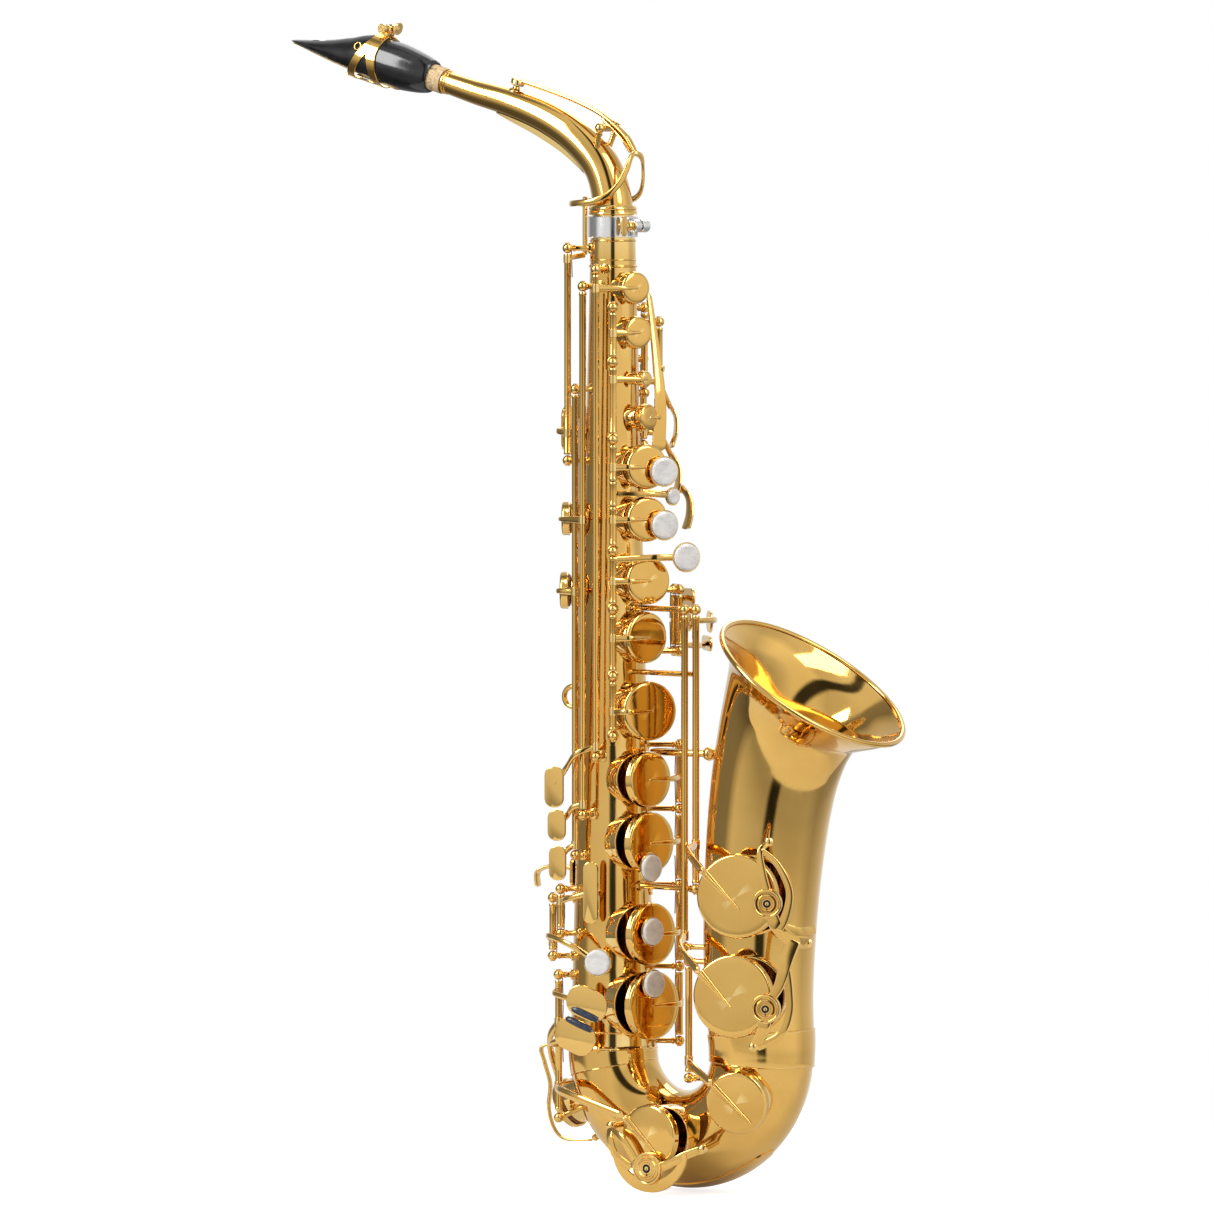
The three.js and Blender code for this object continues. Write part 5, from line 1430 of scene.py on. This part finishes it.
def ligature(start):
    """Lambda-shaped sides: a crown strap on top that forks into two legs, tied by rails under the reed."""
    shape = Shape()
    for side in (1, -1):
        sleeve_strip(shape, start, [(side * 9, 34.6, 41.6), (side * 40, 34, 42.4), (side * 80, 33.6, 46)])
        sleeve_strip(shape, start, [(side * 76, 40, 46), (side * 120, 46, 51.4), (side * 160, 50.2, 55)])
        sleeve_strip(shape, start, [(side * 76, 33.6, 40.4), (side * 120, 31.4, 37),
                                    (side * 160, 29.6, 34.6)])
        sleeve_strip(shape, start, [(side * 150, 30, 54.6), (side * 161, 30, 54.6)])
    for near, far in ((29.6, 34.6), (50.2, 55)):
        sleeve_strip(shape, start, [(158, near, far), (180, near, far), (202, near, far)])

    def spot(distance, rise, y):
        point = along_pipe(MOUTHPIECE_START + distance, rise)
        point.y = y
        return point
    for y in (1.5, -3.5):
        plate(shape, spot(38, 17.4, y), SIDE, PIPE_UP, 8, 6.4, 2)
    torus(shape, spot(47.6, 5.4, -13.6), Vector((0, -1, 0.3)), 2.2, 0.5, 32, 0, PIPE_AXIS)
    piece("ligature_band", shape, BRASS, "mouthpiece", ["ligature"])
    screw = Shape()
    lathe(screw, spot(38, 19, -5), SIDE, [(0.8, 0), (1.2, 0.4), (1.2, 15)], 20)
    knurl = [(2.3, 0), (2.9, 0.3), (2.9, 2.6), (2.3, 2.9)]
    lathe(screw, spot(38, 19, 4), SIDE, knurl, 28)
    plate(screw, spot(38, 19, 10.5) - PIPE_AXIS * 0.7, PIPE_AXIS, SIDE, 8, 7.5, 1.4)
    lathe(screw, spot(38, 19, -8), SIDE, [(0.01, 0), (2.4, 0), (2.8, 0.4), (2.8, 2.4), (2.4, 2.8),
                                          (0.01, 2.8)], 28)
    piece("ligature_screw_metal", screw, BRASS, "ligature_screw", ["ligature_screw"])


# ---------- guards and fittings ----------
def bumper(shape, centre, normal, radius, height=4.4):
    """A guard's round cup: beaded rim, stepped rings and a slotted adjusting screw over dark felt; the
    screw's slot is a thin strip of the dark felt finish laid on top, painted shade in place of a cut groove.
    """
    profile = [(radius - 0.6, 0), (radius, 0.5), (radius, height - 0.8), (radius - 0.3, height - 0.2),
               (radius - 0.9, height), (radius - 1.5, height - 0.2), (radius - 1.9, height - 0.7),
               (0.66 * radius, height - 0.8), (0.62 * radius, height - 0.3), (0.54 * radius, height - 0.2),
               (0.5 * radius, height - 0.7), (0.38 * radius, height - 0.75), (0.34 * radius, height - 0.35),
               (0.27 * radius, height - 0.35), (0.25 * radius, height - 1.1), (0.01, height - 1.1)]
    lathe(shape, centre, normal, profile, 72)
    start = Vector(centre) + Vector(normal) * (height - 1.2)
    lathe(shape, start, normal, [(0.245 * radius, 0), (0.245 * radius, 0.45), (0.01, 0.5)], 28, 1)
    lathe(shape, start, normal, [(0.12 * radius, 0), (0.12 * radius, 0.9), (0.01, 0.9)], 20, 0)
    # The slot: a thin dark strip on the screw, painted shade standing in for a cut groove.
    plate(shape, start + Vector(normal) * 0.78 - UP * (0.2 * radius), normal, UP, 0.5 * radius, 0.5, 0.16,
          0.1, 1)


def ribbon(shape, points, width, end_width=None, facing=None, steps=44):
    """Sheet metal standing on edge to `facing`."""
    facing = BELL_HOLES["low_b"].direction if facing is None else facing
    bar(shape, points, 1.5, width, facing, 1.5, width if end_width is None else end_width, steps, 0.45)


def crescent(shape, centre, normal, right, inner, outer, start, stop, thickness=1.4):
    """A sickle of sheet metal that thins towards both tips."""
    centre, normal, right = Vector(centre), Vector(normal), Vector(right)
    up = normal.cross(right)
    rings = []
    steps = 56
    for k in range(steps + 1):
        t = k / steps
        a = math.radians(start + (stop - start) * t)
        out = right * math.cos(a) + up * math.sin(a)
        full = math.sin(math.pi * t) ** 0.5 if 0 < k < steps else 0
        low = inner + (outer - inner) * 0.5 * (1 - full)
        high = max(outer - (outer - inner) * 0.25 * (1 - full), low + 0.4)
        rings.append([centre + out * low, centre + out * high,
                      centre + out * (high - 0.2) + normal * thickness,
                      centre + out * (low + 0.2) + normal * thickness])
    shape.grid(rings)


def guards():
    """The guards over the low B, B flat, C and E flat cups, with their bumpers."""
    facing = BELL_HOLES["low_b"].direction
    shape = Shape()
    bumper(shape, near_b(12, -3.3, 58.7), facing, 8.6)
    bumper(shape, near_b(10.8, -64.2, 56.6), facing, 8.6)
    ribbon(shape, [near_b(12.5, 32, 57.6), near_b(8, 27, 60), near_b(9, 15, 61), near_b(11.5, 3, 61.2)], 3, 6)
    ribbon(shape, [near_b(8, 28, 59.8), near_b(18, 19, 61), near_b(25, 3, 61.2), near_b(22, -12, 61.2),
                   near_b(18, -19, 61)], 3, 5.5, steps=60)
    ribbon(shape, [near_b(13, -8, 61.2), near_b(18, -17, 61), near_b(26, -24.5, 57), near_b(33, -27, 44)], 8,
           7)
    ribbon(shape, [near_b(18, -17, 60.8), near_b(30, -20, 55), near_b(37, -19, 40)], 7, 5)
    ribbon(shape, [near_b(27, -24, 57.5), near_b(22.5, -38, 60), near_b(18.5, -51, 59.8),
                   near_b(13, -60, 59.4)], 9, 5)
    ribbon(shape, [near_b(23, -40, 60), near_b(24.5, -53, 59.4), near_b(24.5, -66, 59),
                   near_b(19.5, -79, 58.6),
                   near_b(5, -87, 56.4)], 5, 4.5, steps=64)
    ribbon(shape, [near_b(11, -68, 59), near_b(9, -77, 58.6), near_b(3.5, -86.5, 56)], 8, 5.5)
    for spot in (near_b(12.5, 32, 57.4), near_b(33, -27, 42), near_b(3.2, -86.5, 55)):
        lathe(shape, spot, facing, [(2.6, 0), (2.6, 1.5), (1.8, 2.2), (1.2, 2.5), (0.01, 2.6)], 24)
    piece("bell_guard", shape, [BRASS, FELT_AND_SLOT_SHADE], "horn", ["bell_key_guard"])
    forward = Vector((0, -1, 0))
    c_bumper = Vector((56.9, -50.6, 19.7))
    middle = c_bumper + forward * 2.6
    shape = Shape()
    bumper(shape, c_bumper, forward, 9.6)
    crescent(shape, (57.5, -51.2, 32.6), forward, (1, 0, 0), 20, 27, -172, -8)
    ribbon(shape, [(28, -47.4, 42.6), (30, -51.5, 37), (34, -52.4, 27), (45, -52.6, 19)], 4, 5, forward)
    ribbon(shape, [(30, -49.8, 41), (39, -52.4, 36), (48, -52.8, 24)], 3, 5, forward)
    ribbon(shape, [middle, (69, -52.8, 22), (79, -52, 27), (90, -47.4, 31.7)], 6, 4.5, forward, 52)
    for spot in ((28, -47, 42.6), (90, -47, 31.7)):
        lathe(shape, spot, forward, [(2.6, 0), (2.6, 1.3), (1.8, 2.0), (0.01, 2.4)], 24)
    piece("low_c_guard_metal", shape, [BRASS, FELT_AND_SLOT_SHADE], "horn", ["low_c_guard"])
    shape = Shape()
    bar(shape, [(-32.2, 11.8, 79.4), (-43, 9, 83), (-53, 6, 81.5), (-50.5, 5.5, 72), (-46.5, 5, 60),
                (-47.5, 5, 46),
                (-44, 5.5, 34), (-38, 6, 28.5), (-19.2, 8.5, 28)], 3.2, 1.7, SIDE, steps=110, square=0.6)
    piece("low_eb_guard_wire", shape, BRASS, "horn", ["low_eb_guard"])


def fittings():
    """The brace from bell to body, thumb hook, strap ring and thumb rest."""
    shape = Shape()
    bar(shape, [(22, 9, 258), (50, 6, 258), (70, 2, 258)], 4, 4, steps=36, square=0.9)
    bar(shape, [(23.4, 3.5, 258), (48, 1, 258), (70, 2, 258)], 4, 4, steps=36, square=0.9)
    lathe(shape, (62, 2, 258), (1, 0, 0), [(2.6, 0), (3.6, 0.8), (4.3, 3), (3.6, 5), (3.0, 6), (3.0, 9.6),
                                           (3.9, 10.2), (3.9, 14.4)], 32)
    piece("bell_brace_metal", shape, BRASS, "horn", ["bell_brace"])
    shape = Shape()
    plate(shape, (-22.9, -4, 186), (-1, 0, 0), UP, 18, 9, 2)
    bar(shape, [(-23.6, -4, 188), (-35, -6, 190), (-46.5, -8.5, 186), (-46.5, -8.5, 177)], 8, 2.6,
        Vector((0.25, -1, 0)), steps=44, square=0.7)
    piece("thumb_hook_metal", shape, BRASS, "thumb_hook", ["thumb_hook"])
    shape = Shape()
    plate(shape, (-20, 0, 312), (-1, 0, 0), UP, 30, 9, 2, 0.3)
    rod(shape, (-20.9, 0, 300), (-20.9, 0, 290.5), 0.9, 16)
    torus(shape, (-27.6, 0, 289), (0, 1, 0), 6, 1.6, 64)
    piece("strap_ring_metal", shape, BRASS, "horn", ["strap_ring"])
    rest = Shape()
    centre, back = Vector((-15.2, 0, 446)), Vector((-1, 0, 0))
    lathe(rest, centre, back, [(6.8, 0), (6.8, 1.8), (6.2, 2.4), (5.6, 2.4), (5.4, 1.6), (0.01, 1.6)], 44, 0)
    lathe(rest, centre, back, [(5.3, 1.2), (5.2, 2.6), (3.8, 3.4), (2.0, 3.2), (0.01, 3.1)], 44, 1)
    piece("thumb_rest", rest, [BRASS, ROLLER], "horn")


# ---------- floor, light and camera ----------
def floor_surface():
    """A pale floor that the camera sees as near white, with only a faint shade under the horn."""
    material, tree, shader = node_material("pale_floor", "floor")
    grain = noise(tree, 30, 4)
    tone = ramp(tree, grain, [(0.3, (0.6, 0.6, 0.6)), (0.7, (0.64, 0.64, 0.64))])
    tree.links.new(tone, shader.inputs["Base Color"])
    shader.inputs["Roughness"].default_value = 0.8
    shader.inputs["Specular IOR Level"].default_value = 0.1
    rays = tree.nodes.new("ShaderNodeLightPath")
    shader.inputs["Emission Color"].default_value = (1, 1, 1, 1)
    glow = spread(tree, rays.outputs["Is Camera Ray"], *FLOOR_GLOW, 0, 1)
    tree.links.new(glow, shader.inputs["Emission Strength"])
    return material


def surround():
    """White to the camera; in reflections a ring of light and dark, set out from the camera's side."""
    world = bpy.data.worlds.new("studio")
    bpy.context.scene.world = world
    world.use_nodes = True
    tree = world.node_tree
    tree.nodes.clear()
    output = tree.nodes.new("ShaderNodeOutputWorld")
    seen = tree.nodes.new("ShaderNodeBackground")
    seen.inputs["Color"].default_value = (1, 1, 1, 1)
    seen.inputs["Strength"].default_value = 1.0
    mirrored = tree.nodes.new("ShaderNodeBackground")
    coordinates = tree.nodes.new("ShaderNodeTexCoord")
    facing = tree.nodes.new("ShaderNodeVectorRotate")
    facing.rotation_type = "Z_AXIS"
    facing.inputs["Angle"].default_value = math.radians(90 - VIEW_AZIMUTH)
    tree.links.new(coordinates.outputs["Generated"], facing.inputs["Vector"])
    split = tree.nodes.new("ShaderNodeSeparateXYZ")
    tree.links.new(facing.outputs["Vector"], split.inputs[0])
    around = tree.nodes.new("ShaderNodeMath")
    around.operation = "ARCTAN2"
    tree.links.new(split.outputs["Y"], around.inputs[0])
    tree.links.new(split.outputs["X"], around.inputs[1])
    turn = spread(tree, around.outputs[0], 0, 1, -math.pi, math.pi)
    rim = ramp(tree, turn, [(offset / 360 + 0.5, (level, level, level)) for offset, level in LIGHT_RING])
    height = ramp(tree, spread(tree, split.outputs["Z"], 0, 1, -1, 1),
                  [((level + 1) / 2, (amount, amount, amount)) for level, amount in LIGHT_HEIGHT])
    tree.links.new(blend_colours(tree, 1.0, rim, height, "MULTIPLY"), mirrored.inputs["Color"])
    mirrored.inputs["Strength"].default_value = REFLECTION_STRENGTH
    rays = tree.nodes.new("ShaderNodeLightPath")
    mix = tree.nodes.new("ShaderNodeMixShader")
    tree.links.new(rays.outputs["Is Camera Ray"], mix.inputs["Fac"])
    tree.links.new(mirrored.outputs[0], mix.inputs[1])
    tree.links.new(seen.outputs[0], mix.inputs[2])
    tree.links.new(mix.outputs[0], output.inputs["Surface"])


def studio():
    """A pale floor, a surround, three soft boxes and a long lens."""
    bpy.ops.mesh.primitive_circle_add(vertices=96, radius=FLOOR_RADIUS, fill_type="NGON",
                                      location=(0, 0, FLOOR_LEVEL))
    floor = bpy.context.object
    floor.name = "floor"
    floor.data.materials.append(floor_surface())
    surround()

    aim = place(polar(VIEW_AZIMUTH, VIEW_SHIFT, VIEW_HEIGHT))
    for turn, elevation, distance, width, power in SOFT_BOXES:
        light = bpy.data.lights.new("soft_box", "AREA")
        light.shape = "RECTANGLE"
        light.size = width
        light.size_y = SOFT_BOX_LENGTH
        light.energy = power
        lamp = bpy.data.objects.new("soft_box", light)
        lamp.location = aim + sight(VIEW_AZIMUTH + turn, elevation) * distance
        lamp.rotation_euler = (aim - lamp.location).to_track_quat("-Z", "Y").to_euler()
        bpy.context.scene.collection.objects.link(lamp)

    camera = bpy.data.cameras.new("camera")
    camera.lens = VIEW_LENS
    camera.sensor_width = SENSOR
    eye = bpy.data.objects.new("camera", camera)
    reach = VIEW_SPAN / SENSOR * VIEW_LENS
    eye.location = aim + sight(VIEW_AZIMUTH, VIEW_ELEVATION) * reach
    eye.rotation_euler = (aim - eye.location).to_track_quat("-Z", "Y").to_euler()
    bpy.context.scene.collection.objects.link(eye)
    bpy.context.scene.camera = eye
    bpy.context.scene.view_settings.view_transform = "Standard"


VIEW_AZIMUTH, VIEW_ELEVATION = 32, 2.4
VIEW_SPAN = 0.71
VIEW_HEIGHT = 342.2
VIEW_SHIFT = -3.5
VIEW_LENS, SENSOR = 340, 36
# Brightness round the horizon, in degrees from the camera; positive is to its right.
LIGHT_RING = [(-180, 0.8), (-150, 0.6), (-128, 0.22), (-88, 0.25), (-72, 0.72), (-14, 0.75), (-8, 0.04),
              (6, 0.04),
              (11, 0.85), (75, 0.9), (100, 0.6), (150, 0.75), (180, 0.8)]
# The same by height, as the sine of the elevation.
LIGHT_HEIGHT = [(-1, 0.3), (-0.35, 0.45), (-0.1, 0.9), (0.3, 1.0), (0.5, 0.75), (0.75, 0.8), (1, 1.0)]
# The floor, in metres, and its glow as reflections and as the camera see it.
FLOOR_RADIUS, FLOOR_LEVEL = 0.55, -0.002
FLOOR_GLOW = (0.05, 0.75)
REFLECTION_STRENGTH = 1.2
SOFT_BOX_LENGTH = 1.4
# Turn from the camera, elevation, distance, width and power of each soft box.
SOFT_BOXES = [(-60, 35, 1.7, 0.5, 24), (45, 40, 1.7, 0.6, 12), (170, 45, 1.8, 0.8, 8)]


def sight(azimuth, elevation):
    """The direction from the object towards a viewer at this azimuth and elevation."""
    a, e = math.radians(azimuth), math.radians(elevation)
    return Vector((math.sin(a) * math.cos(e), -math.cos(a) * math.cos(e), math.sin(e)))


body_tube()
body_posts()
bow()
bell()
ferrules()
stack_keys()
bis_key()
side_keys()
upper_keys()
palm_keys()
table_keys()
low_keys()
trill_key()
receiver()
neck()
neck_octave_key()
mouthpiece()
guards()
fittings()
studio()

bpy.context.view_layer.update()
